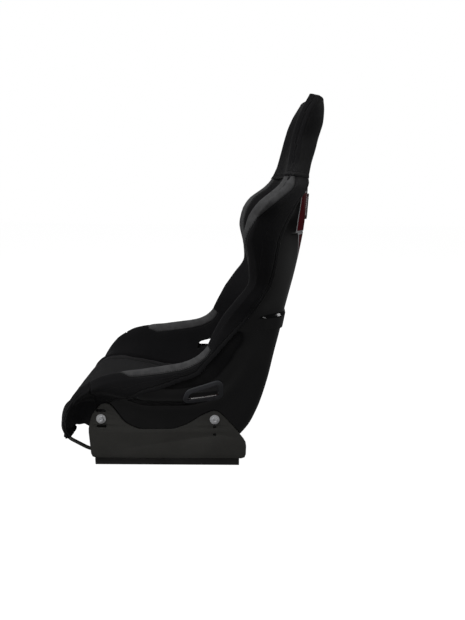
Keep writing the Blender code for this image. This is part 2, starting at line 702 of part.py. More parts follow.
def rails(seat, cutters, finishes):
    ends = RAIL_Y - RAIL_LENGTH / 2, RAIL_Y + RAIL_LENGTH / 2
    roller_r = (FOOT_Z - RAIL_WALL) / 2 - CONTACT
    roller_z = (FOOT_Z + RAIL_WALL) / 2
    for side, word in SIDES:
        x = side * RAIL_X
        lower = plate("lower_rail_" + word, lower_section(x), [], *ends, "Y", finishes["rail"], seat)
        plate("upper_rail_" + word, upper_section(x), [], *ends, "Y", finishes["rail"], seat)
        for k, y in enumerate((RAIL_Y - FLOOR_BOLT_Y, RAIL_Y + FLOOR_BOLT_Y)):
            hole = turned(
                "floor_bolt_hole_%s_%d" % (word, k), (x, y, -5.0), (x, y, 6.0), FLOOR_BOLT_R, None, cutters
            )
            boolean(lower, as_cutter(hole))
        notches(lower, side, word, cutters)
        cage = box(
            "roller_cage_" + word,
            (x - CAGE_HALF, RAIL_Y - ROLLER_Y - 9.0, roller_z - CAGE_WALL / 2),
            (x + CAGE_HALF, RAIL_Y + ROLLER_Y + 9.0, roller_z + CAGE_WALL / 2),
            finishes["plastic"], seat,
        )
        for place_, y in (("front", RAIL_Y - ROLLER_Y), ("rear", RAIL_Y + ROLLER_Y)):
            turned(
                "roller_%s_%s" % (place_, word), (x - ROLLER_HALF, y, roller_z),
                (x + ROLLER_HALF, y, roller_z), roller_r, finishes["zinc"], seat,
            )
            reach = roller_r + CONTACT
            gap = box(
                "roller_window_%s_%s" % (place_, word),
                (x - ROLLER_HALF - CONTACT, y - reach, roller_z - 5.0),
                (x + ROLLER_HALF + CONTACT, y + reach, roller_z + 5.0), None, cutters,
            )
            boolean(cage, as_cutter(gap))


def notches(lower, side, word, cutters):
    """The row of notches in a lower rail's inner lip, one at every stop of the slide."""
    bm = bmesh.new()
    edge = RAIL_X - RAIL_WIDE / 2 + LIP
    reach = TOOTH_DEEP + 1.0
    steps = round(TRAVEL / TOOTH_PITCH)
    spread = range(-steps - TEETH // 2, steps + TEETH // 2 + 1)
    for k in spread:
        y = LATCH_Y + k * TOOTH_PITCH
        made = bmesh.ops.create_cube(bm, size=MM)["verts"]
        size = (reach + 1.0, TOOTH_WIDE + 2 * TOOTH_GAP, 8.0)
        bmesh.ops.scale(bm, verts=made, vec=size)
        middle = Vector((side * (edge - reach / 2 + 0.5), y, LOWER_TALL))
        bmesh.ops.translate(bm, verts=made, vec=middle * MM)
    boolean(lower, as_cutter(from_bmesh(bm, "latch_notches_" + word, None, cutters)))


# ---------------------------------------------------------------- towel bar and latches
def towel_bar(seat, cutters, finishes):
    half = [
        (BAR_X, BAR_PIVOT_Y + 10.0, BAR_Z), (BAR_X, BAR_BEND_Y, BAR_Z), (BAR_X, *BAR_FRONT), (0.0, *BAR_FRONT),
    ]
    path = rounded(half + [(-x, y, z) for x, y, z in half[-2::-1]], 22.0, 5)
    curve = bpy.data.curves.new("towel_bar", "CURVE")
    curve.dimensions = "3D"
    curve.bevel_depth = BAR_R * MM
    curve.bevel_resolution = 2
    curve.use_fill_caps = True
    spline = curve.splines.new("POLY")
    spline.points.add(len(path) - 1)
    for point, place_ in zip(spline.points, path):
        point.co = (*(place_ * MM), 1.0)
    wire = bpy.data.objects.new("towel_bar_path", curve)
    cutters.objects.link(wire)
    bpy.context.view_layer.update()
    mesh = bpy.data.meshes.new_from_object(wire.evaluated_get(bpy.context.evaluated_depsgraph_get()))
    bpy.data.objects.remove(wire)
    bm = bmesh.new()
    bm.from_mesh(mesh)
    bpy.data.meshes.remove(mesh)
    bmesh.ops.remove_doubles(bm, verts=bm.verts, dist=1e-6)
    bmesh.ops.recalc_face_normals(bm, faces=bm.faces)
    bar = smooth(from_bmesh(bm, "towel_bar", finishes["powder"], seat))
    for side, word in SIDES:
        near, far = BAR_X - 7.0, BAR_X + 12.0
        turned(
            "bar_pin_" + word, (side * near, BAR_PIVOT_Y, BAR_Z), (side * far, BAR_PIVOT_Y, BAR_Z),
            PIN_R, finishes["zinc"], seat,
        )
        hole = as_cutter(
            turned("bar_pin_hole_" + word, (side * (near - 9), BAR_PIVOT_Y, BAR_Z),
                   (side * (far + 9), BAR_PIVOT_Y, BAR_Z), PIN_R + HOLE_GAP, None, cutters)
        )
        boolean(bar, hole)
        hanger(side, word, hole, seat, finishes)
        latch(side, word, seat, cutters, finishes)


def hanger(side, word, hole, seat, finishes):
    """The angle that carries a towel bar pin, held under the bracket's flange."""
    inner = BAR_X + BAR_R + CONTACT + 0.5
    rail = RAIL_X - UPPER_HALF - 0.5
    top = UPPER_TOP
    outline = [
        (inner, BAR_Z - 7.0), (inner + TAB_THICK, BAR_Z - 7.0), (inner + TAB_THICK, top - 2.0),
        (rail, top - 2.0), (rail, top), (inner, top),
    ]
    outline = [(side * x, z) for x, z in outline]
    obj = plate("bar_hanger_" + word, outline, [], BAR_PIVOT_Y - 10.0, BAR_PIVOT_Y + 10.0, "Y",
                finishes["powder"], seat)
    boolean(obj, hole)


def latch(side, word, seat, cutters, finishes):
    """A comb on a towel bar arm, its teeth over the lower rail's notches and just clear of the lip."""
    inner = BAR_X + BAR_R + CONTACT
    edge = RAIL_X - RAIL_WIDE / 2 + LIP
    under = LOWER_TALL + COMB_LIFT
    outline = [
        (inner, BAR_Z - 4.0), (inner + TAB_THICK, BAR_Z - 4.0), (inner + TAB_THICK, under),
        (edge, under), (edge, under + TAB_THICK), (inner, under + TAB_THICK),
    ]
    outline = [(side * x, z) for x, z in outline]
    ends = LATCH_Y - LATCH_LONG / 2, LATCH_Y + LATCH_LONG / 2
    comb = plate("comb_latch_" + word, outline, [], *ends, "Y", finishes["powder"], seat)
    for k in range(TEETH):
        y = LATCH_Y + (k - (TEETH - 1) / 2) * TOOTH_PITCH
        x = sorted((side * (edge - TOOTH_DEEP), side * edge))
        tooth = box(
            "tooth_%s_%d" % (word, k), (x[0], y - TOOTH_WIDE / 2, LOWER_TALL + CONTACT),
            (x[1], y + TOOTH_WIDE / 2, under + 1.0), None, cutters,
        )
        boolean(comb, as_cutter(tooth), "UNION")


def other_side(obj, name, finish, collection):
    """The same piece as it is on the other side of the seat."""
    bpy.context.view_layer.update()
    mesh = bpy.data.meshes.new_from_object(obj.evaluated_get(bpy.context.evaluated_depsgraph_get()))
    mesh.transform(Matrix.Diagonal((-1.0, 1.0, 1.0, 1.0)))
    mesh.flip_normals()
    mesh.materials.clear()
    return smooth(place(bpy.data.objects.new(name, mesh), name, finish, collection))


def main():
    clear_scene()
    seat = new_collection("racing_seat")
    cutters = new_collection("cutters")
    finishes = {
        "gel": material("black_gelcoat", (0.01, 0.01, 0.011), 0.12),
        "cloth": material("black_cloth", (0.02, 0.02, 0.022), 0.9),
        "suede": material("charcoal_suede", (0.03, 0.03, 0.032), 0.95),
        "rubber": material("dark_rubber", (0.05, 0.05, 0.052), 0.6),
        "silver": material("pale_plastic", (0.6, 0.6, 0.62), 0.4),
        "powder": material("black_powder_coat", (0.03, 0.03, 0.03), 0.5),
        "rail": material("black_rail_steel", (0.03, 0.03, 0.03), 0.4),
        "plastic": material("cage_plastic", (0.3, 0.3, 0.28), 0.6),
        "zinc": material("bright_zinc", (0.7, 0.71, 0.73), 0.25, 1.0),
    }
    shell, bolster = shell_and_pads(seat, cutters, finishes)
    rails(seat, cutters, finishes)
    brackets(seat, cutters, finishes, shell, bolster)
    other_side(bolster, "side_bolster_right", finishes["suede"], seat)
    towel_bar(seat, cutters, finishes)


main()
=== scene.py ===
import json
import math
import bpy
import bmesh
import numpy as np
from mathutils import Matrix, Vector, noise
from mathutils.bvhtree import BVHTree


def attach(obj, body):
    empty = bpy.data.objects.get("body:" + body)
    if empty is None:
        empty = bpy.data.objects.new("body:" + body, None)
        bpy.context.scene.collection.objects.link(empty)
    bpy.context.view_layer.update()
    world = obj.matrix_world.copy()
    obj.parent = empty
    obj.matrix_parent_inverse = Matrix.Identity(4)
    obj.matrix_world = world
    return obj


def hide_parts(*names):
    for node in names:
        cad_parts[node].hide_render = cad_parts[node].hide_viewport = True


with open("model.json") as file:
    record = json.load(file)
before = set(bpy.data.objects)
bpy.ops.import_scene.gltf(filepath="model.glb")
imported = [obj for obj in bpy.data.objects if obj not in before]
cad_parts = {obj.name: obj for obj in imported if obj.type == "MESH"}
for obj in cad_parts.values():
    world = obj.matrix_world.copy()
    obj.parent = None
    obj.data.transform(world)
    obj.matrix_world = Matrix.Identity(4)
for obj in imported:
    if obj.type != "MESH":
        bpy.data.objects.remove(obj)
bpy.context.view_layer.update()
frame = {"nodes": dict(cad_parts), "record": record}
nodes = frame["nodes"]
bodies = frame["record"]["behaviour"]["bodies"]
print("frame loaded")

mm = 0.001

# camera first: a low tele view of the left side, from a little above
view = {"place": (1.377, 0.110, 0.708), "down": 13.6, "turn": -0.3, "roll": 0.5, "lens": 500 / 620 * 36}


def makeCamera(v):
    data = bpy.data.cameras.new("camera")
    data.lens = v["lens"]
    data.sensor_width = 36
    obj = bpy.data.objects.new("camera", data)
    bpy.context.scene.collection.objects.link(obj)
    down, turn = math.radians(v["down"]), math.radians(v["turn"])
    forward = Vector((-math.cos(down) * math.cos(turn), -math.cos(down) * math.sin(turn), -math.sin(down)))
    turned = forward.to_track_quat("-Z", "Y").to_matrix() @ Matrix.Rotation(math.radians(v["roll"]), 3, "Z")
    obj.matrix_world = Matrix.Translation(v["place"]) @ turned.to_4x4()
    bpy.context.scene.camera = obj


makeCamera(view)

# ---- shader helpers


def newMaterial(name):
    mat = bpy.data.materials.new(name)
    mat.use_nodes = True
    tree = mat.node_tree
    return mat, tree, tree.nodes["Principled BSDF"]


def newGroup(name, inputs, outputs):
    tree = bpy.data.node_groups.new(name, "ShaderNodeTree")
    for label, kind, default in inputs:
        made = tree.interface.new_socket(label, in_out="INPUT", socket_type="NodeSocket" + kind)
        if default is not None:
            made.default_value = default
    for label, kind in outputs:
        tree.interface.new_socket(label, in_out="OUTPUT", socket_type="NodeSocket" + kind)
    return tree, tree.nodes.new("NodeGroupInput"), tree.nodes.new("NodeGroupOutput")


# a socket gets a link, a colour, a number, or stays as it is
def feed(tree, socket, value):
    if isinstance(value, bpy.types.NodeSocket):
        tree.links.new(value, socket)
    elif value is not None:
        socket.default_value = (*value, 1.0) if isinstance(value, tuple) else value


def feedAll(tree, node, values):
    for key, value in values.items():
        feed(tree, node.inputs[key], value)
    return node


def useGroup(tree, group, **values):
    node = tree.nodes.new("ShaderNodeGroup")
    node.node_tree = group
    return feedAll(tree, node, values)


def math2(tree, operation, a, b=None, c=None):
    node = tree.nodes.new("ShaderNodeMath")
    node.operation = operation
    return feedAll(tree, node, {0: a, 1: b, 2: c}).outputs[0]


def mixColour(tree, factor, a, b):
    node = tree.nodes.new("ShaderNodeMix")
    node.data_type = "RGBA"
    return feedAll(tree, node, {0: factor, 6: a, 7: b}).outputs[2]


def ramp(tree, value, low, high, start=0.0, end=1.0):
    node = tree.nodes.new("ShaderNodeMapRange")
    node.interpolation_type = "SMOOTHSTEP"
    return feedAll(tree, node, {0: value, 1: low, 2: high, 3: start, 4: end}).outputs[0]


def noiseAt(tree, vector, scale, detail=3.0, roughness=0.5):
    node = tree.nodes.new("ShaderNodeTexNoise")
    values = {"Vector": vector, "Scale": scale, "Detail": detail, "Roughness": roughness}
    return feedAll(tree, node, values).outputs[0]


def bumpFrom(tree, height, strength, distance, normal=None):
    node = tree.nodes.new("ShaderNodeBump")
    values = {"Strength": strength, "Distance": distance, "Height": height, "Normal": normal}
    return feedAll(tree, node, values).outputs[0]


def coordinate(tree, which):
    return tree.nodes.new("ShaderNodeTexCoord").outputs[which]


def attribute(tree, name):
    node = tree.nodes.new("ShaderNodeAttribute")
    node.attribute_name = name
    return node.outputs["Fac"]


# plain woven cloth on the piece's own map, in metres: threads over and under, slubs and fuzz
def makeWeave():
    tree, given, out = newGroup("wovenThreads", [("Map", "Vector", None), ("Pitch", "Float", 0.0016)],
                                [("Height", "Float"), ("Shade", "Float")])
    parts = tree.nodes.new("ShaderNodeSeparateXYZ")
    tree.links.new(given.outputs["Map"], parts.inputs[0])
    turn = math2(tree, "DIVIDE", math.pi, given.outputs["Pitch"])
    u = math2(tree, "MULTIPLY", parts.outputs[0], turn)
    v = math2(tree, "MULTIPLY", parts.outputs[1], turn)
    su, sv = math2(tree, "SINE", u), math2(tree, "SINE", v)
    over = math2(tree, "MULTIPLY", su, sv)
    warp = math2(tree, "ABSOLUTE", su)
    weft = math2(tree, "ABSOLUTE", sv)
    side = ramp(tree, over, -0.25, 0.25)
    crossing = math2(tree, "MULTIPLY", warp, side)
    other = math2(tree, "MULTIPLY", weft, math2(tree, "SUBTRACT", 1.0, side))
    threads = math2(tree, "ADD", crossing, other)
    fuzz = noiseAt(tree, given.outputs["Map"], 900.0, 2.0)
    height = math2(tree, "MULTIPLY_ADD", fuzz, 0.35, threads)
    tree.links.new(height, out.inputs["Height"])
    slub = noiseAt(tree, given.outputs["Map"], 60.0, 4.0, 0.6)
    shade = math2(tree, "MULTIPLY_ADD", slub, 0.5, math2(tree, "MULTIPLY", threads, 0.5))
    tree.links.new(shade, out.inputs["Shade"])
    return tree


# a stitched seam: a dip along the seam line, which the cloth also paints darker as painted shade, and a row of thread
# dashes on each side of it
def makeStitch():
    tree, given, out = newGroup(
        "sewnSeam",
        [("Distance", "Float", None), ("Along", "Float", None), ("Gap", "Float", 0.0035),
         ("Pitch", "Float", 0.0055)],
        [("Valley", "Float"), ("Thread", "Float")])
    away = math2(tree, "ABSOLUTE", given.outputs["Distance"])
    valleyAndShade = ramp(tree, away, 0.0, 0.0022)
    tree.links.new(valleyAndShade, out.inputs["Valley"])
    off = math2(tree, "ABSOLUTE", math2(tree, "SUBTRACT", away, given.outputs["Gap"]))
    row = ramp(tree, off, 0.0005, 0.0009, 1.0, 0.0)
    beat = math2(tree, "FRACT", math2(tree, "DIVIDE", given.outputs["Along"], given.outputs["Pitch"]))
    dash = ramp(tree, math2(tree, "ABSOLUTE", math2(tree, "SUBTRACT", beat, 0.5)), 0.3, 0.36, 1.0, 0.0)
    tree.links.new(math2(tree, "MULTIPLY", row, dash), out.inputs["Thread"])
    return tree


# dust and faint scratches that dull a hard surface unevenly
def makeWear():
    tree, given, out = newGroup("handlingWear", [("Vector", "Vector", None), ("Amount", "Float", 1.0)],
                                [("Dull", "Float"), ("Scratch", "Float")])
    cloud = ramp(tree, noiseAt(tree, given.outputs["Vector"], 9.0, 5.0, 0.6), 0.35, 0.75)
    tree.links.new(math2(tree, "MULTIPLY", cloud, given.outputs["Amount"]), out.inputs["Dull"])
    stretch = tree.nodes.new("ShaderNodeMapping")
    stretch.inputs["Scale"].default_value = (40.0, 40.0, 900.0)
    stretch.inputs["Rotation"].default_value = (0.5, 0.2, 0.3)
    tree.links.new(given.outputs["Vector"], stretch.inputs["Vector"])
    lines = ramp(tree, noiseAt(tree, stretch.outputs[0], 1.0, 2.0), 0.66, 0.72)
    tree.links.new(math2(tree, "MULTIPLY", lines, given.outputs["Amount"]), out.inputs["Scratch"])
    return tree


weave, stitch, wear = makeWeave(), makeStitch(), makeWear()

clothLook = {"black": (0.0075, 0.0073, 0.0086), "worn": (0.015, 0.0147, 0.0160), "suede": (0.125, 0.125, 0.128),
             "thread": (0.016, 0.016, 0.017), "sheen": 0.10}


# black cloth with charcoal suede where the panel attribute says so
def makeCloth(look):
    mat, tree, shader = newMaterial("blackCloth")
    panel = ramp(tree, attribute(tree, "panel"), -0.0004, 0.0004)
    threads = useGroup(tree, weave, Map=coordinate(tree, "UV"))
    seam = useGroup(tree, stitch, Distance=attribute(tree, "seam"), Along=attribute(tree, "along"))
    place = coordinate(tree, "Object")
    used = ramp(tree, noiseAt(tree, place, 7.0, 5.0, 0.65), 0.3, 0.75)
    black = mixColour(tree, math2(tree, "MULTIPLY", used, threads.outputs["Shade"]), look["black"], look["worn"])
    nap = noiseAt(tree, place, 55.0, 6.0, 0.7)
    brushed = tuple(c * 0.66 for c in look["suede"])
    suede = mixColour(tree, ramp(tree, nap, 0.3, 0.7), brushed, look["suede"])
    colour = mixColour(tree, panel, black, suede)
    valleyAndShade = seam.outputs["Valley"]
    # painted shade: the cloth is painted half as dark along the seam line, where the crease of the seam would be in
    # shade
    colour = mixColour(tree, valleyAndShade, tuple(c * 0.5 for c in look["black"]), colour)
    colour = mixColour(tree, seam.outputs["Thread"], colour, look["thread"])
    rough = math2(tree, "MULTIPLY_ADD", threads.outputs["Shade"], -0.12, 0.97)
    fine = math2(tree, "MULTIPLY", threads.outputs["Height"], math2(tree, "MULTIPLY_ADD", panel, -0.85, 1.0))
    plush = math2(tree, "MULTIPLY", noiseAt(tree, place, 700.0, 3.0), panel)
    height = math2(tree, "ADD", fine, plush)
    normal = bumpFrom(tree, height, 0.5, 0.0005)
    thread = math2(tree, "ADD", valleyAndShade, math2(tree, "MULTIPLY", seam.outputs["Thread"], 0.5))
    feedAll(tree, shader, {"Base Color": colour, "Roughness": rough, "Sheen Weight": look["sheen"],
                           "Sheen Roughness": 0.45, "Specular IOR Level": 0.28,
                           "Normal": bumpFrom(tree, thread, 0.9, 0.0016, normal)})
    return mat


gelLook = {"black": (0.0055, 0.0055, 0.006), "red": (0.19, 0.006, 0.014), "silver": (0.62, 0.62, 0.64),
           "dust": (0.3, 0.29, 0.28), "rough": 0.085, "coat": 0.25}


# polished gelcoat with a red field, edged with a silver line, in the middle of the back
def makeGelcoat(look):
    mat, tree, shader = newMaterial("blackGelcoat")
    place = coordinate(tree, "Object")
    field = attribute(tree, "redField")
    red = ramp(tree, field, -0.0004, 0.0004)
    inner = ramp(tree, field, -0.0008, 0.0, 1.0, 0.0)
    line = math2(tree, "MULTIPLY", ramp(tree, field, -0.0052, -0.0044), inner)
    handled = useGroup(tree, wear, Vector=place, Amount=0.6)
    flake = ramp(tree, noiseAt(tree, place, 1400.0, 1.0), 0.4, 0.75)
    deep = mixColour(tree, flake, tuple(c * 0.7 for c in look["red"]), look["red"])
    colour = mixColour(tree, red, look["black"], deep)
    colour = mixColour(tree, line, colour, look["silver"])
    colour = mixColour(tree, math2(tree, "MULTIPLY", handled.outputs["Dull"], 0.04), colour, look["dust"])
    rough = math2(tree, "MULTIPLY_ADD", handled.outputs["Dull"], 0.06, look["rough"])
    rough = math2(tree, "MULTIPLY_ADD", handled.outputs["Scratch"], 0.12, rough)
    peel = noiseAt(tree, place, 260.0, 2.0)
    feedAll(tree, shader, {"Base Color": colour, "Roughness": rough, "Coat Weight": look["coat"],
                           "Coat Roughness": 0.04, "Normal": bumpFrom(tree, peel, 0.05, 0.0004)})
    return mat


# one maker for the hard finishes: colour, roughness, grain and wear in one dictionary each
hardLooks = {
    "powderCoat": {"colour": (0.068, 0.067, 0.061), "dark": (0.048, 0.0475, 0.044), "rough": 0.42, "metal": 0.0,
                   "grain": 900.0, "bump": 0.22, "wear": 0.7, "coat": 0.0},
    "railSteel": {"colour": (0.045, 0.044, 0.042), "dark": (0.028, 0.0275, 0.026), "rough": 0.42, "metal": 0.25,
                  "grain": 500.0, "bump": 0.12, "wear": 0.9, "coat": 0.0},
    "brightZinc": {"colour": (0.95, 0.96, 0.98), "dark": (0.82, 0.83, 0.86), "rough": 0.45, "metal": 0.15,
                   "grain": 700.0, "bump": 0.10, "wear": 0.5, "coat": 0.0},
    "mouldedRubber": {"colour": (0.060, 0.062, 0.070), "dark": (0.044, 0.0455, 0.051), "rough": 0.55, "metal": 0.0,
                      "grain": 1200.0, "bump": 0.2, "wear": 0.4, "coat": 0.0},
    "silverTrim": {"colour": (0.60, 0.61, 0.63), "dark": (0.48, 0.49, 0.51), "rough": 0.22, "metal": 0.55,
                   "grain": 900.0, "bump": 0.04, "wear": 0.3, "coat": 0.4},
    "cageNylon": {"colour": (0.30, 0.29, 0.26), "dark": (0.22, 0.21, 0.19), "rough": 0.5, "metal": 0.0,
                  "grain": 400.0, "bump": 0.1, "wear": 0.4, "coat": 0.0},
}


def makeHard(name, look):
    mat, tree, shader = newMaterial(name)
    place = coordinate(tree, "Object")
    grain = noiseAt(tree, place, look["grain"], 3.0)
    handled = useGroup(tree, wear, Vector=place, Amount=look["wear"])
    colour = mixColour(tree, ramp(tree, grain, 0.3, 0.7), look["dark"], look["colour"])
    paler = tuple(min(1.0, c * 1.35 + 0.01) for c in look["colour"])
    colour = mixColour(tree, math2(tree, "MULTIPLY", handled.outputs["Dull"], 0.5), colour, paler)
    rough = math2(tree, "MULTIPLY_ADD", handled.outputs["Dull"], 0.12, look["rough"])
    rough = math2(tree, "MULTIPLY_ADD", handled.outputs["Scratch"], 0.1, rough)
    feedAll(tree, shader, {"Base Color": colour, "Roughness": rough, "Metallic": look["metal"],
                           "Coat Weight": look["coat"], "Normal": bumpFrom(tree, grain, look["bump"], 0.0003)})
    return mat


cloth = makeCloth(clothLook)
gelcoat = makeGelcoat(gelLook)
hard = {name: makeHard(name, look) for name, look in hardLooks.items()}
print("finishes made")

# ---- the seat's cross-sections, in millimetres. Each is cut on the line from bottom to crest in
# the side view: half is the half width at the crest, then the laminate as (half width, depth) points
# from the middle outwards, the pad's depth, the half width of its seam and how much stays bare
seatSections = [
    # bottom, crest, half, crown, corner, flat, flare, pad, seam, hem
    ((-280, 88), (-314, 92), 204, 22, (150, 21), (172, 21), (190, 22), 56, 150, 0.0),
    ((-280, 90), (-319, 114), 207, 28, (158, 26), (178, 27), (196, 28), 62, 154, 0.0),
    ((-276, 92), (-312, 148), 214, 40, (170, 24), (191, 30), (211, 46), 78, 160, 0.0),
    ((-266, 94), (-295, 182), 221, 48, (184, 12), (194, 46), (214, 68), 88, 166, 0.0),
    ((-246, 94), (-260, 226), 224, 44, (195, 2), (195, 100), (226, 114), 93, 170, 0.03),
    ((-205, 90), (-206, 257), 226, 38, (195, 0), (195, 116), (236, 138), 94, 172, 0.46),
    ((-150, 82), (-147, 271), 225, 18, (195, 0), (195, 106), (240, 136), 92, 172, 0.62),
    ((-95, 72), (-109, 275), 223, 4, (195, 0), (195, 98), (242, 138), 92, 170, 0.72),
    ((-30, 63), (-67, 281), 221, 0, (195, 0), (195, 104), (242, 150), 92, 168, 0.77),
    ((50, 57), (-28, 287), 219, 0, (195, 0), (195, 118), (240, 160), 92, 166, 0.82),
    ((118, 66), (-8, 291), 218, 0, (195, 0), (195, 128), (238, 172), 92, 164, 0.84),
    ((160, 108), (12, 297), 214, 0, (195, 0), (195, 110), (236, 154), 84, 160, 0.83),
    ((188, 168), (34, 309), 210, 0, (193, 0), (194, 82), (230, 126), 72, 154, 0.85),
    ((209, 235), (52, 327), 206, 0, (184, 0), (191, 60), (223, 104), 64, 146, 0.83),
    ((226, 300), (62, 348), 201, 0, (172, 2), (188, 50), (216, 94), 60, 138, 0.77),
    ((243, 362), (76, 376), 196, 0, (160, 4), (182, 45), (208, 90), 58, 132, 0.68),
    ((254, 412), (96, 411), 202, 0, (150, 5), (182, 42), (208, 86), 55, 130, 0.59),
    ((264, 450), (124, 450), 212, 0, (146, 6), (190, 42), (220, 80), 52, 130, 0.56),
    ((275, 495), (153, 492), 219, 0, (142, 6), (188, 38), (218, 72), 49, 130, 0.55),
    ((286, 545), (150, 545), 240, 0, (140, 7), (200, 44), (238, 84), 46, 132, 0.51),
    ((296, 600), (139, 600), 259, 0, (140, 8), (212, 50), (254, 98), 44, 134, 0.46),
    ((301, 645), (149, 648), 266, 0, (138, 8), (214, 50), (258, 96), 42, 132, 0.38),
    ((303, 680), (171, 681), 272, 0, (135, 8), (214, 44), (262, 84), 42, 128, 0.32),
    ((304, 712), (213, 714), 238, 0, (128, 6), (190, 30), (230, 58), 40, 112, 0.20),
    ((300, 738), (235, 741), 195, 0, (112, 5), (152, 22), (186, 45), 40, 96, 0.0),
    ((303, 768), (246, 768), 152, 0, (96, 4), (124, 18), (146, 40), 40, 84, 0.0),
    ((311, 800), (253, 800), 126, 0, (84, 4), (104, 18), (120, 40), 42, 76, 0.0),
    ((319, 832), (259, 830), 108, 0, (74, 4), (92, 18), (104, 40), 44, 70, 0.0),
    ((329, 868), (270, 870), 104, 0, (72, 4), (90, 16), (101, 38), 44, 68, 0.0),
    ((331, 900), (283, 901), 99, 0, (68, 4), (86, 14), (96, 31), 39, 64, 0.0),
    ((330, 924), (300, 930), 84, 0, (52, 3), (70, 9), (80, 19), 27, 48, 0.0),
]
wall, rimDrop, coverThick = 4.5, 11.0, 6.0


def rounded(points, setback, steps=6):
    points = [Vector(p) for p in points]
    out = [points[0]]
    for before, here, after in zip(points, points[1:], points[2:]):
        start = here + (before - here).normalized() * min(setback, (before - here).length * 0.48)
        end = here + (after - here).normalized() * min(setback, (after - here).length * 0.48)
        for k in range(steps + 1):
            t = k / steps
            out.append(start * (1 - t) ** 2 + here * (2 * t * (1 - t)) + end * t ** 2)
    return out + [points[-1]]


def asArray(points):
    return np.array([tuple(p) for p in points], dtype=float)


def resample(points, count, first=0.0, last=1.0):
    points = asArray(points)
    run = np.concatenate([[0], np.cumsum(np.linalg.norm(np.diff(points, axis=0), axis=1))])
    want = np.linspace(first, last, count) * run[-1]
    return np.stack([np.interp(want, run, points[:, k]) for k in range(points.shape[1])], axis=1)


def offset(points, distance):
    points = asArray(points)
    along = np.gradient(points, axis=0)
    side = np.stack([-along[:, 1], along[:, 0]], axis=1)
    return points + side / np.linalg.norm(side, axis=1)[:, None] * distance


stationTable = np.array([[*b, *c, half, crown, *corner, *flat, *flare, pad, seam, hem]
                         for b, c, half, crown, corner, flat, flare, pad, seam, hem in seatSections], float)


# the numbers of a section at any place between two stations, on a smooth curve through all of them
def stationAt(t):
    t = min(max(t, 0.0), len(stationTable) - 1.0)
    i = min(int(t), len(stationTable) - 2)
    f = t - i
    p1, p2 = stationTable[i], stationTable[i + 1]
    p0 = stationTable[i - 1] if i else p1 * 2 - p2
    p3 = stationTable[i + 2] if i + 2 < len(stationTable) else p2 * 2 - p1
    smooth = 0.5 * (2 * p1 + (p2 - p0) * f + (2 * p0 - 5 * p1 + 4 * p2 - p3) * f ** 2
                    + (3 * p1 - p0 - 3 * p2 + p3) * f ** 3)
    return smooth * 0.8 + (p1 * (1 - f) + p2 * f) * 0.2


# one cross-section: flat points are (half width, depth), place() puts them in the seat
class Section:
    def __init__(self, t):
        given = stationAt(t)
        self.t, self.bottom, self.crest = t, given[0:2], given[2:4]
        self.half, self.crown, self.pad, self.seam = given[4], given[5], given[12], given[13]
        self.hem = min(max(given[14], 0.0), 0.9)
        corner, flat, flare = given[6:8], given[8:10], given[10:12]
        self.deep = np.linalg.norm(self.crest - self.bottom)
        self.up = (self.crest - self.bottom) / self.deep
        edge = (self.half + 5.0, self.deep - rimDrop)
        raised = min(max((self.crown - corner[1]) / 4.0, 0.0), 1.0)
        line = rounded([(0.0, self.crown), (corner[0] * (0.5 + 0.22 * raised), self.crown), corner, flat, flare,
                        edge], 27.0)
        self.laminate = softened(resample(line, 161), 6)

    def place(self, points):
        points = np.asarray(points)
        return np.column_stack([points[:, 0], self.bottom + points[:, 1:2] * self.up]) * mm


# a half outline with its mirror image behind it, as one closed ring
def mirrored(half, flip=(-1, 1)):
    return np.concatenate([half, half[-2:0:-1] * flip])


def softened(points, passes):
    points = points.copy()
    for _ in range(passes):
        points[1:-1] = points[1:-1] * 0.5 + (points[:-2] + points[2:]) * 0.25
    return points


def joined(*runs):
    return np.vstack([asArray(run) for run in runs])


# places along the seat, about this many millimetres apart, with any extra ones asked for
def placesAlong(first, last, step, extra=()):
    out, t = [first], first
    while t < last:
        here, there = stationAt(t), stationAt(t + 0.05)
        speed = max(np.linalg.norm(there[0:2] - here[0:2]), np.linalg.norm(there[2:4] - here[2:4])) / 0.05
        t += step / max(speed, 8.0)
        out.append(min(t, last))
    out = sorted({round(x, 4) for x in [*out, *extra] if first <= x <= last})
    return [x for i, x in enumerate(out) if not i or x - out[i - 1] > 0.004]


# ---- making meshes: a grid of faces is laid out and its points are moved on to the surface
def surface(name, rows, closedAcross=False, capEnds=False, attributes=None, uv=None):
    rows = np.asarray(rows, float)
    count, across = rows.shape[:2]
    if closedAcross:
        rows = np.concatenate([rows, rows[:, :1]], axis=1)
    bm = bmesh.new()
    bmesh.ops.create_grid(bm, x_segments=rows.shape[1] - 1, y_segments=count - 1, size=1.0, calc_uvs=True)
    bm.verts.ensure_lookup_table()
    for vert, point in zip(bm.verts, rows.reshape(-1, 3)):
        vert.co = point
    mapLayer = bm.loops.layers.uv.verify()
    if uv is not None:
        flat = np.asarray(uv, float).reshape(-1, 2)
        for face in bm.faces:
            for loop in face.loops:
                loop[mapLayer].uv = flat[loop.vert.index]
    for label, values in (attributes or {}).items():
        layer = bm.verts.layers.float.new(label)
        values = np.asarray(values, float)
        if closedAcross:
            values = np.concatenate([values, values[:, :1]], axis=1)
        for vert, value in zip(bm.verts, values.reshape(-1)):
            vert[layer] = value
    if closedAcross:
        bmesh.ops.remove_doubles(bm, verts=bm.verts, dist=1e-7)
    if capEnds:
        rims = [e for e in bm.edges if e.is_boundary]
        made = bmesh.ops.holes_fill(bm, edges=rims, sides=0)["faces"]
        bmesh.ops.triangulate(bm, faces=made)
    bmesh.ops.recalc_face_normals(bm, faces=bm.faces)
    return fromBmesh(bm, name)


def opened(obj):
    bm = bmesh.new()
    bm.from_mesh(obj.data)
    return bm


def putBack(bm, obj):
    bm.to_mesh(obj.data)
    bm.free()


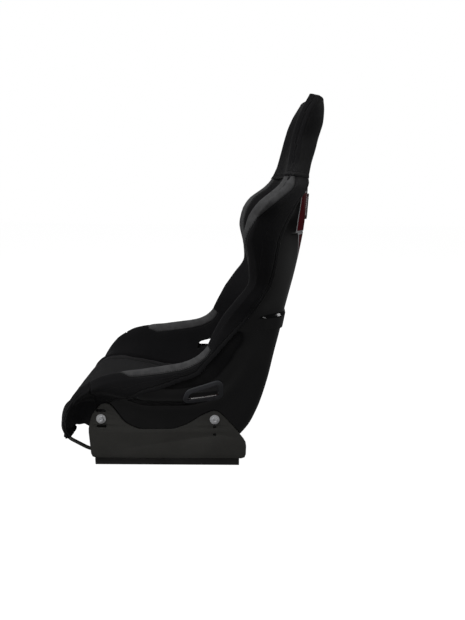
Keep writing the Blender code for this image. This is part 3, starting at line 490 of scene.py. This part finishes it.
def fromBmesh(bm, name, smooth=True, angle=None):
    mesh = bpy.data.meshes.new(name)
    bm.to_mesh(mesh)
    bm.free()
    obj = bpy.data.objects.new(name, mesh)
    bpy.context.scene.collection.objects.link(obj)
    if smooth:
        mesh.shade_smooth()
    if angle:
        mesh.set_sharp_from_angle(angle=math.radians(angle))
    return obj


def applyModifiers(obj):
    deps = bpy.context.evaluated_depsgraph_get()
    deps.update()
    mesh = bpy.data.meshes.new_from_object(obj.evaluated_get(deps))
    old = obj.data
    obj.modifiers.clear()
    obj.data = mesh
    bpy.data.meshes.remove(old)


def finishPiece(obj, material, body, *replaced, slot=None, pad=None):
    obj.data.materials.clear()
    obj.data.materials.append(material)
    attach(obj, body)
    if replaced:
        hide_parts(*replaced)
    return obj


def table(points, t):
    xs, ys = zip(*points)
    return float(np.interp(t, xs, ys))


# closed rings that round off an end: the last ring shrinks towards its middle while it moves on
def domeRings(ring, away, steps=6, narrow=0.0):
    middle = ring.mean(axis=0)
    out = []
    for k in range(1, steps + 1):
        angle = math.pi / 2 * k / (steps + 0.4)
        scale = narrow + (1 - narrow) * math.cos(angle) ** 0.6
        out.append(middle + (ring - middle) * scale + away * math.sin(angle))
    return out


def slotOutline(corners, growth, setback):
    corners = [Vector(c) for c in corners]
    centre = sum(corners, Vector((0, 0))) / len(corners)
    grown = []
    for i, here in enumerate(corners):
        before = (here - corners[i - 1]).normalized()
        after = (corners[(i + 1) % len(corners)] - here).normalized()
        normals = Vector((before.y, -before.x)), Vector((after.y, -after.x))
        grown.append(here + (normals[0] + normals[1]) * (growth / (1.0 + normals[0].dot(normals[1]))))
    out = []
    for i, here in enumerate(grown):
        back = (grown[i - 1] - here).normalized() * setback
        on = (grown[(i + 1) % len(grown)] - here).normalized() * setback
        for k in range(9):
            f = k / 8
            out.append((here + back) * (1 - f) ** 2 + here * (2 * f * (1 - f)) + (here + on) * f ** 2)
    return out


# a prism through the seat, used to cut a slot and then thrown away
def slotCutter(outline, axis, low, high):
    bm = bmesh.new()
    verts = []
    for u, v in outline:
        point = (low, u, v) if axis == "X" else (u, low, v)
        verts.append(bm.verts.new(Vector(point) * mm))
    face = bm.faces.new(verts)
    grown = bmesh.ops.extrude_face_region(bm, geom=[face])["geom"]
    step = Vector((high - low, 0, 0) if axis == "X" else (0, high - low, 0)) * mm
    bmesh.ops.translate(bm, verts=[g for g in grown if isinstance(g, bmesh.types.BMVert)], vec=step)
    bmesh.ops.recalc_face_normals(bm, faces=bm.faces)
    return fromBmesh(bm, "cutter", smooth=False)


def cutAway(obj, cutters):
    for cutter in cutters:
        modifier = obj.modifiers.new(cutter.name, "BOOLEAN")
        modifier.operation = "DIFFERENCE"
        modifier.solver = "EXACT"
        modifier.object = cutter
    applyModifiers(obj)
    for cutter in cutters:
        bpy.data.objects.remove(cutter)


lapCorners = ((7.0, 203.0), (82.0, 206.0), (82.0, 241.0), (14.0, 220.0))
shoulderCorners = ((33.0, 645.0), (111.0, 645.0), (111.0, 691.0), (33.0, 691.0))


def lapOutline(growth):
    return slotOutline(lapCorners, growth, 5.0 + growth * 0.7)


def shoulderOutline(side, growth):
    outline = slotOutline(shoulderCorners, growth, 9.0 + growth)
    return outline if side > 0 else [Vector((-p.x, p.y)) for p in outline][::-1]


# ---- shell: gloss laminate with a waist band, a groove across the back and a red field.
# Its rim stops short, inside the padding
shellSize = {"across": 61, "step": 6.0, "band": (366.0, 404.0), "bandHeight": 4.5, "grooveAt": 607.0,
             "bandEdges": (2.2, 7.0), "bandEnds": 0.80, "grooveDeep": 1.6, "grooveHalf": 2.6, "grooveEnds": 0.66,
             "rimLeft": 0.955, "backFrom": 13,
             "fieldTop": 700.0, "fieldLow": 452.0, "fieldHalf": 176.0, "fieldFoot": 92.0}


def makeShell(size):
    extra = []
    fine = np.arange(13.0, 22.0, 0.01)
    backZ = np.array([stationAt(t)[1] for t in fine])
    for z in (*size["band"], size["grooveAt"]):
        middle = float(np.interp(z, backZ, fine))
        extra += [middle + d for d in (-0.075, -0.055, -0.035, -0.02, 0.0, 0.02, 0.035, 0.055, 0.075)]
    places = placesAlong(0.0, 30.0, size["step"], extra)
    outer, field = [], []
    for t in places:
        section = Section(t)
        half = resample(section.laminate, size["across"], 0.0, size["rimLeft"])
        z = section.bottom[1]
        onBack = t > size["backFrom"]
        (low, high), (under, over) = size["band"], size["bandEdges"]
        band = np.clip((z - low) / under + 0.5, 0, 1) * np.clip((high - z) / over + 0.5, 0, 1) if onBack else 0.0
        groove = max(0.0, 1.0 - abs(z - size["grooveAt"]) / size["grooveHalf"]) if onBack else 0.0
        share = np.linspace(0, 1, len(half))
        bandFade, grooveFade = (np.clip((size[ends] - share) / 0.1, 0, 1) for ends in ("bandEnds", "grooveEnds"))
        lift = size["bandHeight"] * band * bandFade - size["grooveDeep"] * groove * grooveFade
        raised = offset(half, -1.0) - half
        half = half + raised * lift[:, None]
        half[0, 0] = 0.0
        whole = np.vstack([half[:0:-1] * (-1, 1), half])
        outer.append(section.place(whole))
        x = np.abs(whole[:, 0])
        upper = min(size["fieldTop"] - z, z - size["grooveAt"] - 5.0)
        lower = min(size["grooveAt"] - 5.0 - z, z - size["fieldLow"])
        taper = np.clip((z - size["fieldLow"]) / (size["grooveAt"] - size["fieldLow"]), 0, 1)
        widthLow = size["fieldFoot"] + (size["fieldHalf"] - 12 - size["fieldFoot"]) * taper
        inUpper = np.minimum(size["fieldHalf"] - x, upper)
        inLower = np.minimum(widthLow - x, lower)
        field.append(np.maximum(inUpper, inLower) * mm if onBack else np.full(len(x), -0.05))
    shell = surface("shell", outer, attributes={"redField": field})
    lowest = min(shell.data.polygons, key=lambda face: face.center.z)
    if lowest.normal.z > 0:
        shell.data.flip_normals()
    wallMaker = shell.modifiers.new("wall", "SOLIDIFY")
    wallMaker.thickness = wall * mm
    wallMaker.offset = -1.0
    wallMaker.use_even_offset = True
    applyModifiers(shell)
    box = [Vector(c) for c in shell.bound_box]
    cutters = []
    for side in (1, -1):
        cutters.append(slotCutter(lapOutline(0.0), "X", side * 120, side * 300))
        cutters.append(slotCutter(shoulderOutline(side, 0.0), "Y", 180, 360))
    cutAway(shell, cutters)
    shell.data.set_sharp_from_angle(angle=math.radians(40))
    print("shell", len(shell.data.polygons), "faces", [round(v, 3) for v in box[6]])
    return finishPiece(shell, gelcoat, "seat", "shell", slot="black_gelcoat")


shell = makeShell(shellSize)

# ---- side bolsters: padding that wraps the edge of the laminate, with suede along the crest
bolsterLook = {
    "step": 6.0, "front": 46, "outside": 34, "back": 44, "crest": 17.0, "wrinkle": 0.7,
    # behind a bracket the cover thins out: from this place along the seat, and below this height
    "thin": 0.6, "plateFrom": 2.6, "plateRun": 0.8, "plateLast": 12.5, "plateTop": 180.0, "plateFade": 12.0,
    # how far the suede reaches from the crest in mm, outwards and inwards, by place along the seat
    "out": ((5.6, -14), (5.95, 8), (6.3, 19), (8, 22), (12.4, 21), (13.2, 18), (13.4, -14), (18.3, -10), (19.0, 2.5),
            (19.7, 8), (20.3, 15), (20.9, 26), (21.5, 38), (22.1, 48), (22.8, 50), (23.5, 42), (24, 32)),
    "in": ((5.6, -14), (5.85, 20), (6.4, 32), (12.4, 32), (13.2, 28), (13.4, -14), (18.3, -14), (19.0, 22), (24, 30)),
}


def bolsterPath(section, look):
    base = np.array([section.seam + 0.5, section.pad])
    inner = np.array([section.half - look["crest"], section.deep - 3.0])
    lower = base + (inner - base) * 0.45 + (4.0, -3.0)
    rim = section.half - 2.0
    behindPlate = min(max((section.t - look["plateFrom"]) / look["plateRun"], 0.0), 1.0)
    if section.t >= look["plateLast"]:
        behindPlate = 0.0
    height = section.bottom[1] + section.laminate[:, 1] * section.up[1]
    above = np.clip((height - look["plateTop"]) / look["plateFade"], 0, 1)
    thick = look["thin"] + (coverThick - look["thin"]) * above
    thick = coverThick * (1 - behindPlate) + thick * behindPlate
    straight = offset(section.laminate, -1.0) - section.laminate
    outward = section.laminate + straight * thick[:, None]
    hemAt = np.nonzero(section.laminate[:, 1] >= section.hem * section.deep)[0]
    hem = max(hemAt[0] if len(hemAt) else 158, np.nonzero(section.laminate[:, 0] >= section.seam)[0][0] + 3)
    outside = outward[hem:158][::-1]
    up = rounded([base, lower, inner, (rim, section.deep + 3.0), tuple(outside[0])], 14.0, 8)
    crestAt = int(np.argmax(asArray(up)[:, 1]))
    visible = joined(up[:-1], outside)
    lengths = np.concatenate([[0], np.cumsum(np.linalg.norm(np.diff(visible, axis=0), axis=1))])
    crestRun = lengths[crestAt]
    near = offset(section.laminate, -0.2)[hem:161]
    inside = offset(section.laminate, wall + 0.7)
    seamIndex = int(np.nonzero(inside[:, 0] >= section.seam)[0][0])
    behind = inside[seamIndex:161][::-1]
    hidden = joined([outward[hem] * 0.35 + section.laminate[hem] * 0.65], near, behind)
    return visible, hidden, crestRun, lengths[-1]


def fabricNoise(point, scale, seed):
    return noise.noise(Vector(point) * scale + Vector((seed, seed * 0.7, -seed)))


def makeBolster(look, side):
    word = "left" if side > 0 else "right"
    places = placesAlong(0.0, 24.0, look["step"], (13.3, 13.4, 18.3, 5.6, 5.8))
    rows, panel, seam, along, uv = [], [], [], [], []
    distance, before = 0.0, None
    for t in places:
        section = Section(t)
        visible, hidden, crestRun, total = bolsterPath(section, look)
        first = resample(visible, look["front"] + look["outside"])
        last = resample(hidden, look["back"])
        ring = np.vstack([first, last])
        place = section.place(ring)
        middle = section.place(np.array([[section.half, section.deep]]))[0]
        distance += 0.0 if before is None else np.linalg.norm(middle - before)
        before = middle
        run = np.linspace(0, total, len(first))
        across = (run - crestRun) * mm
        out, inward = table(look["out"], t) * mm, table(look["in"], t) * mm
        inPanel = np.minimum(out - across, across + inward)
        hemLine = across[-1] - 0.011 - across
        nearest = np.where(np.abs(inPanel) < np.abs(hemLine), inPanel, hemLine)
        spare = np.full(len(last), 0.05)
        panel.append(np.concatenate([inPanel, -spare]))
        seam.append(np.concatenate([nearest, spare]))
        along.append(np.full(len(ring), distance))
        both = np.concatenate([across, np.linspace(across[-1], across[-1] + 0.2, len(last))])
        uv.append(np.column_stack([both, np.full(len(ring), distance)]))
        rows.append(place)
    rows = np.array(rows)
    normals = np.cross(np.gradient(rows, axis=0), np.gradient(rows, axis=1))
    normals /= np.linalg.norm(normals, axis=2)[:, :, None] + 1e-12
    cover = look["front"] + look["outside"]
    centre = rows.mean(axis=1)[:, None, :]
    sign = np.sign((normals[:, :cover] * (rows[:, :cover] - centre)).sum(axis=2).mean())
    seamAll = np.array(seam)
    for i in range(rows.shape[0]):
        for j in range(2, cover - 2):
            edge = min(1.0, (j - 1) / 6, (cover - 2 - j) / 6)
            puff = min(abs(seamAll[i, j]) / 0.012, 1.0)
            puff = 1 - (1 - puff) ** 2
            wave = fabricNoise(rows[i, j], 16.0, 3.1) * 0.9 + fabricNoise(rows[i, j], 42.0, 7.7) * 0.35
            grow = (puff - 1.0) * 1.5 + wave * look["wrinkle"] * 1.2
            rows[i, j] += normals[i, j] * sign * edge * grow * mm
    away = np.array([0.0, -2.0, -9.0]) * mm
    nose = domeRings(rows[0], away, narrow=0.9)[::-1]
    spareRow = len(nose)
    rows = np.concatenate([nose, rows])
    repeat = lambda values: np.concatenate([[values[0]] * spareRow, values])
    if side < 0:
        rows = rows * (-1, 1, 1)
    obj = surface("side_bolster_" + word, rows, closedAcross=True, capEnds=True,
                  attributes={"panel": repeat(np.array(panel)), "seam": repeat(np.array(seam)),
                              "along": repeat(np.array(along))},
                  uv=np.concatenate([repeat(np.array(uv)), repeat(np.array(uv))[:, :1]], axis=1))
    cutAway(obj, [slotCutter(lapOutline(3.0), "X", side * 120, side * 300)])
    print("bolster", word, len(obj.data.polygons), "faces")
    return finishPiece(obj, cloth, "seat", "side_bolster_" + word, slot="black_cloth", pad=0.75)


for side in (1, -1):
    makeBolster(bolsterLook, side)

# ---- middle pads, blown up as cloth and then sewn
padLook = {
    "seat": {"first": 0.0, "last": 10.9, "cap": 5.0, "voxel": 0.005, "shrink": 2.5},
    "back": {"first": 11.0, "last": 24.0, "cap": 5.0, "voxel": 0.005, "shrink": 2.5},
}


def padHalf(section):
    edge = section.seam - 0.8
    base = offset(section.laminate, wall + 2.0)
    if section.hem < 0.1 and section.crown > 20.0:
        base = offset(section.laminate, -coverThick)
    under = base[base[:, 0] < edge]
    top = rounded([(0.0, section.pad), (edge * 0.75, section.pad), (edge, section.pad - 3.0)], 30.0, 8)
    return resample(top, 28), resample(under, 24)[::-1]


def padRings(first, last, step, shrink=0.0):
    rings = []
    for t in placesAlong(first, last, step):
        top, under = padHalf(Section(t))
        half = np.vstack([top, under])
        ring = mirrored(half)
        if shrink:
            middle = ring.mean(axis=0)
            size = np.abs(ring - middle).max(axis=0)
            ring = middle + (ring - middle) * (1 - shrink / size)
        rings.append(Section(t).place(ring))
    return rings


def makePad(name, look, domed):
    rings = padRings(look["first"], look["last"], 7.0, look["shrink"])
    if domed:
        rings = domeRings(rings[0], np.array([0.0, -2.0, -7.0]) * mm)[::-1] + rings
    obj = surface(name, rings, closedAcross=True, capEnds=True)
    remesh = obj.modifiers.new("remesh", "REMESH")
    remesh.mode = "VOXEL"
    remesh.voxel_size = look["voxel"]
    applyModifiers(obj)
    start = np.array([v.co for v in obj.data.vertices])
    blow = obj.modifiers.new("blow", "CLOTH")
    blow.settings.use_pressure = True
    blow.settings.uniform_pressure_force = 4.0
    blow.settings.effector_weights.gravity = 0.0
    blow.settings.quality = 4
    blow.point_cache.frame_start, blow.point_cache.frame_end = 1, 20
    for step in range(1, 21):
        bpy.context.scene.frame_set(step)
    applyModifiers(obj)
    bpy.context.scene.frame_set(1)
    moved = np.array([v.co for v in obj.data.vertices]) - start
    far = np.linalg.norm(moved, axis=1)
    cap = look["cap"] * mm
    share = np.minimum(1.0, cap / np.maximum(far, 1e-9))
    for vert, here, shift, keep in zip(obj.data.vertices, start, moved, share):
        vert.co = here + shift * keep
    bm = opened(obj)
    for _ in range(3):
        bmesh.ops.smooth_vert(bm, verts=bm.verts, factor=0.5, use_axis_x=True, use_axis_y=True, use_axis_z=True)
    putBack(bm, obj)
    return obj


# a seam runs along each pad at this half width
seamAt = {"seat_cushion": 112.0, "back_cushion": 96.0}


def sewPad(obj, line, first, last):
    dense = np.arange(first, last + 0.001, 0.04)
    tops = []
    for t in dense:
        given = stationAt(t)
        rise = given[2:4] - given[0:2]
        tops.append(given[0:2] + rise * (given[12] / np.linalg.norm(rise)))
    tops = np.array(tops)
    run = np.concatenate([[0], np.cumsum(np.linalg.norm(np.diff(tops, axis=0), axis=1))])
    mesh = obj.data
    layers = {label: mesh.attributes.new(label, "FLOAT", "POINT") for label in ("panel", "seam", "along")}
    flatMap = []
    bm = opened(obj)
    values = {label: [] for label in layers}
    for vert in bm.verts:
        x, y, z = (c / mm for c in vert.co)
        gap = np.hypot(tops[:, 0] - y, tops[:, 1] - z)
        length = run[int(np.argmin(gap))]
        nearest = abs(abs(x) - line)
        values["seam"].append(nearest * mm)
        values["along"].append(length * mm)
        values["panel"].append(-0.05)
        flatMap.append((x * mm, length * mm))
        sink = (1 - min(nearest / 9.0, 1.0)) ** 2 * 2.2
        wave = fabricNoise(vert.co, 18.0, 1.3) * 0.8 + fabricNoise(vert.co, 50.0, 9.1) * 0.3
        vert.co -= vert.normal * (sink - wave) * mm
    putBack(bm, obj)
    mesh.shade_smooth()
    for label in values:
        mesh.attributes[label].data.foreach_set("value", values[label])
    layer = mesh.uv_layers.new(name="weaveMap")
    for loop in mesh.loops:
        layer.data[loop.index].uv = flatMap[loop.vertex_index]


for name, look, domed in (("seat_cushion", padLook["seat"], True), ("back_cushion", padLook["back"], False)):
    pad = makePad(name, look, domed)
    if name == "back_cushion":
        cutAway(pad, [slotCutter(shoulderOutline(s, 3.0), "Y", 180, 360) for s in (1, -1)])
    sewPad(pad, seamAt[name], look["first"], look["last"])
    finishPiece(pad, cloth, "seat", name, slot="black_cloth", pad=0.6)
    print(name, len(pad.data.polygons), "faces")

# ---- head cover: a sock of padding over the top of the laminate
headLook = {"step": 5.5, "crest": 15.0, "wrinkle": 0.7, "dome": 9.0, "thick": 11.5}


def makeHeadCover(look):
    rows, seam, along, uv, panel = [], [], [], [], []
    distance, before = 0.0, None
    for t in placesAlong(23.93, 30.0, look["step"]):
        section = Section(t)
        behind = offset(section.laminate, -look["thick"] * min(1.0, 0.66 + (t - 24) * 0.15))[:158][::-1]
        front = [(0.0, section.pad), (section.seam * 0.8, section.pad), (section.seam, section.pad + 1.0),
                 (section.half - look["crest"], section.deep - 1.0), (section.half + 3.0, section.deep + 5.0),
                 tuple(behind[0])]
        loop = rounded(front, 17.0, 8)
        behind[-1, 0] = 0.0
        half = np.vstack([resample(loop, 44), resample(behind, 40)[1:]])
        ring = mirrored(half)
        place = section.place(ring)
        distance += 0.0 if before is None else np.linalg.norm(place[0] - before)
        before = place[0]
        run = np.concatenate([[0], np.cumsum(np.linalg.norm(np.diff(half, axis=0), axis=1))])
        crest = run[int(np.argmax(half[:, 1]))]
        side = np.minimum(np.abs(run - crest - 17.0), np.abs(run - crest + 38.0))
        bottom = abs(distance / mm - 9.0)
        halfSeam = np.minimum(side, bottom) * mm
        seam.append(mirrored(halfSeam, 1))
        halfAlong = np.where(side < bottom, distance, run * mm)
        along.append(mirrored(halfAlong, 1))
        uvHalf = np.column_stack([run * mm, np.full(len(half), distance)])
        uv.append(mirrored(uvHalf, 1))
        panel.append(np.full(len(ring), -0.05))
        rows.append(place)
    rows = np.array(rows)
    centre = rows.mean(axis=1)
    seamAll = np.array(seam)
    for i in range(rows.shape[0]):
        for j in range(rows.shape[1]):
            outward = Vector(rows[i, j] - centre[i]).normalized()
            puff = min(seamAll[i, j] / 0.010, 1.0)
            wave = fabricNoise(rows[i, j], 18.0, 4.2) * 0.9 + fabricNoise(rows[i, j], 45.0, 2.3) * 0.3
            rows[i, j] += np.array(outward) * ((1 - (1 - puff) ** 2 - 1.0) * 1.4 + wave * look["wrinkle"]) * mm
    top = domeRings(rows[-1], np.array([0.0, 2.0, look["dome"]]) * mm, steps=9)
    extra = len(top)
    repeat = lambda values: np.concatenate([values, [values[-1]] * extra])
    uvAll = np.array(uv)
    uvTop = [uvAll[-1] + (0.0, 0.004 * (k + 1)) for k in range(extra)]
    uvAll = np.concatenate([uvAll, uvTop])
    obj = surface("head_cover", np.concatenate([rows, top]), closedAcross=True, capEnds=True,
                  attributes={"panel": repeat(np.array(panel)), "seam": repeat(np.array(seam)),
                              "along": repeat(np.array(along))},
                  uv=np.concatenate([uvAll, uvAll[:, :1]], axis=1))
    print("head cover", len(obj.data.polygons), "faces")
    return finishPiece(obj, cloth, "seat", "head_cover", slot="black_cloth", pad=0.8)


makeHeadCover(headLook)

# ---- belt frames: soft-edged rings that follow the laminate
frameLook = {"lap": {"wide": 12.0, "tall": 4.0}, "shoulder": {"wide": 8.4, "tall": 4.0}}


def makeBeltFrame(name, outline, tree, axis, side, look, material, replaced, slot):
    inset, wide, tall = 0.2, look["wide"], look["tall"]
    profile = asArray(rounded([(inset, 0.0), (inset, tall), (wide, tall), (wide, 0.0)], 2.2, 5))
    middle = sum(outline, Vector((0, 0))) / len(outline)
    rows = []
    for i, here in enumerate(outline):
        along = (outline[(i + 1) % len(outline)] - outline[i - 1]).normalized()
        out = Vector((along.y, -along.x))
        if out.dot(here - middle) < 0:
            out = -out
        row = []
        for away, high in profile:
            spot = here + out * away
            if axis == "X":
                start, direction = Vector((side * 400, spot.x, spot.y)) * mm, Vector((-side, 0, 0))
            else:
                start, direction = Vector((spot.x, 450, spot.y)) * mm, Vector((0, -1, 0))
            hit, normal, _, _ = tree.ray_cast(start, direction)
            if hit is None:
                hit, normal = start + direction * 0.2, -direction
            if normal.dot(direction) > 0:
                normal = -normal
            row.append(hit + normal * (high + 0.3) * mm)
        rows.append(row)
    rows.append(rows[0])
    obj = surface(name, [asArray(row) for row in rows], closedAcross=True)
    bm = opened(obj)
    bmesh.ops.remove_doubles(bm, verts=bm.verts, dist=1e-6)
    bmesh.ops.recalc_face_normals(bm, faces=bm.faces)
    putBack(bm, obj)
    return finishPiece(obj, material, "seat", replaced, slot=slot)


def laminateTree():
    rows = [Section(t).place(np.vstack([s[:0:-1] * (-1, 1), s])) for t in placesAlong(0, 30, 8.0)
            for s in [resample(Section(t).laminate, 61)]]
    obj = surface("laminateGuide", rows)
    bm = opened(obj)
    tree = BVHTree.FromBMesh(bm)
    bm.free()
    bpy.data.objects.remove(obj)
    return tree


guide = laminateTree()
for side, word in ((1, "left"), (-1, "right")):
    makeBeltFrame("lap_belt_frame_" + word, lapOutline(0.0), guide, "X", side, frameLook["lap"],
                  hard["mouldedRubber"], "lap_belt_frame_" + word, "belt_frame_plastic")
    makeBeltFrame("shoulder_belt_frame_" + word, shoulderOutline(side, 0.0), guide, "Y", side,
                  frameLook["shoulder"], hard["silverTrim"], "shoulder_belt_frame_" + word, "pale_plastic")
print("belt frames made")

# ---- hard pieces: copies of the plain ones with their edges eased, so that they catch the light
easedPieces = {
    "side_bracket": (0.7, "powderCoat"), "lower_rail": (0.5, "railSteel"), "upper_rail": (0.5, "railSteel"),
    "washer": (0.35, "brightZinc"), "side_bolt": (0.5, "brightZinc"), "rail_screw": (0.4, "brightZinc"),
    "comb_latch": (0.3, "powderCoat"), "bar_hanger": (0.3, "powderCoat"),
}


def easeNode(name, width, material):
    bm = opened(nodes[name])
    bmesh.ops.remove_doubles(bm, verts=bm.verts, dist=2e-6)
    sharp = [e for e in bm.edges if len(e.link_faces) == 2 and e.calc_face_angle(0) > math.radians(32)]
    bmesh.ops.bevel(bm, geom=sharp, offset=width * mm, offset_type="OFFSET", affect="EDGES", segments=2,
                    profile=0.5, material=-1, clamp_overlap=False)
    bmesh.ops.triangulate(bm, faces=[f for f in bm.faces if len(f.verts) > 4])
    obj = fromBmesh(bm, name + "_eased", angle=30)
    body = next(b for b, members in bodies.items() if name in members)
    return finishPiece(obj, material, body, name)


for name in sorted(nodes):
    kind = next((k for k in easedPieces if name.startswith(k + "_")), None)
    if kind:
        easeNode(name, easedPieces[kind][0], hard[easedPieces[kind][1]])
print("hard pieces eased")

# ---- towel bar
barLook = {"radius": 4.75, "armX": 139.0, "rear": (-50.0, 13.0), "bend": (-262.0, 13.0), "front": (-333.0, 54.0)}


def makeTowelBar(look):
    x = look["armX"]
    half = [(x, *look["rear"]), (x, *look["bend"]), (x, *look["front"]), (0.0, *look["front"])]
    path = asArray(rounded([Vector(p) for p in half + [(-a, b, c) for a, b, c in half[-2::-1]]], 24.0, 10))
    curve = bpy.data.curves.new("towel_bar_path", "CURVE")
    curve.dimensions = "3D"
    curve.bevel_depth = look["radius"] * mm
    curve.bevel_resolution = 6
    curve.use_fill_caps = True
    spline = curve.splines.new("POLY")
    spline.points.add(len(path) - 1)
    for point, place in zip(spline.points, path * mm):
        point.co = (*place, 1.0)
    wire = bpy.data.objects.new("towel_bar_path", curve)
    bpy.context.scene.collection.objects.link(wire)
    deps = bpy.context.evaluated_depsgraph_get()
    deps.update()
    bm = bmesh.new()
    bm.from_mesh(bpy.data.meshes.new_from_object(wire.evaluated_get(deps)))
    bpy.data.objects.remove(wire)
    bmesh.ops.remove_doubles(bm, verts=bm.verts, dist=1e-6)
    rims = [e for e in bm.edges if len(e.link_faces) == 2 and e.calc_face_angle(0) > math.radians(60)]
    bmesh.ops.bevel(bm, geom=rims, offset=0.8 * mm, affect="EDGES", segments=3, profile=0.5, material=-1)
    bmesh.ops.recalc_face_normals(bm, faces=bm.faces)
    return finishPiece(fromBmesh(bm, "towel_bar_round", angle=50), hard["powderCoat"], "handle", "towel_bar")


makeTowelBar(barLook)

# ---- what stays as it is gets its finish
keptFinish = {"roller_cage": "cageNylon", "roller": "brightZinc", "threaded_insert": "brightZinc",
              "bar_pin": "brightZinc"}
for name, node in nodes.items():
    kind = next((k for k in keptFinish if name.startswith(k + "_")), None)
    if kind:
        node.data.materials.clear()
        node.data.materials.append(hard[keptFinish[kind]])

# ---- floor, lights and background
stageLook = {"floor": (0.2, 0.2, 0.2), "glow": 0.985, "sky": 1.0, "gloom": 0.03}


def makeFloor(look):
    bm = bmesh.new()
    bmesh.ops.create_grid(bm, x_segments=1, y_segments=1, size=9.0)
    bmesh.ops.translate(bm, verts=bm.verts, vec=(0, 0, -0.0005))
    floor = fromBmesh(bm, "floor")
    mat, tree, shader = newMaterial("paleFloor")
    place = coordinate(tree, "Object")
    mottled = mixColour(tree, ramp(tree, noiseAt(tree, place, 3.0), 0.3, 0.7), look["floor"],
                        tuple(c * 0.98 for c in look["floor"]))
    seen = tree.nodes.new("ShaderNodeLightPath").outputs["Is Camera Ray"]
    feedAll(tree, shader, {"Base Color": mottled, "Roughness": 0.9, "Emission Color": (1, 1, 1),
                           "Emission Strength": math2(tree, "MULTIPLY", seen, look["glow"])})
    floor.data.materials.append(mat)


def makeWorld(look):
    world = bpy.data.worlds.new("studio")
    world.use_nodes = True
    tree = world.node_tree
    back = tree.nodes["Background"]
    path = tree.nodes.new("ShaderNodeLightPath")
    strength = math2(tree, "MULTIPLY_ADD", path.outputs["Is Camera Ray"], look["sky"] - look["gloom"], look["gloom"])
    back.inputs["Color"].default_value = (1, 1, 1, 1)
    tree.links.new(strength, back.inputs["Strength"])
    bpy.context.scene.world = world


studioLights = [
    # place, aimed at, size, power
    ((1.4, -1.5, 2.9), (0, 0, 0.4), (1.6, 1.2), 40.0),
    ((1.7, 2.3, 1.5), (0, 0.1, 0.5), (0.16, 1.8), 2.6),
    ((2.7, -0.7, 1.5), (0, 0, 0.15), (1.2, 0.8), 7.0),
    ((-0.4, 2.8, 1.9), (0, 0.2, 0.5), (1.2, 0.8), 16.0),
    ((-2.4, 0.2, 2.2), (0, 0, 0.5), (1.6, 1.6), 14.0),
]


def makeLights(lights):
    for i, (place, target, size, power) in enumerate(lights):
        lamp = bpy.data.lights.new("soft_light_%d" % i, "AREA")
        lamp.shape = "RECTANGLE"
        lamp.size, lamp.size_y = size
        lamp.energy = power
        obj = bpy.data.objects.new("soft_light_%d" % i, lamp)
        aim = Vector(target) - Vector(place)
        obj.matrix_world = Matrix.Translation(place) @ aim.to_track_quat("-Z", "Y").to_matrix().to_4x4()
        bpy.context.scene.collection.objects.link(obj)
        obj.visible_camera = False


makeFloor(stageLook)
makeWorld(stageLook)
makeLights(studioLights)
bpy.context.scene.view_settings.view_transform = "Standard"
print("stage set")
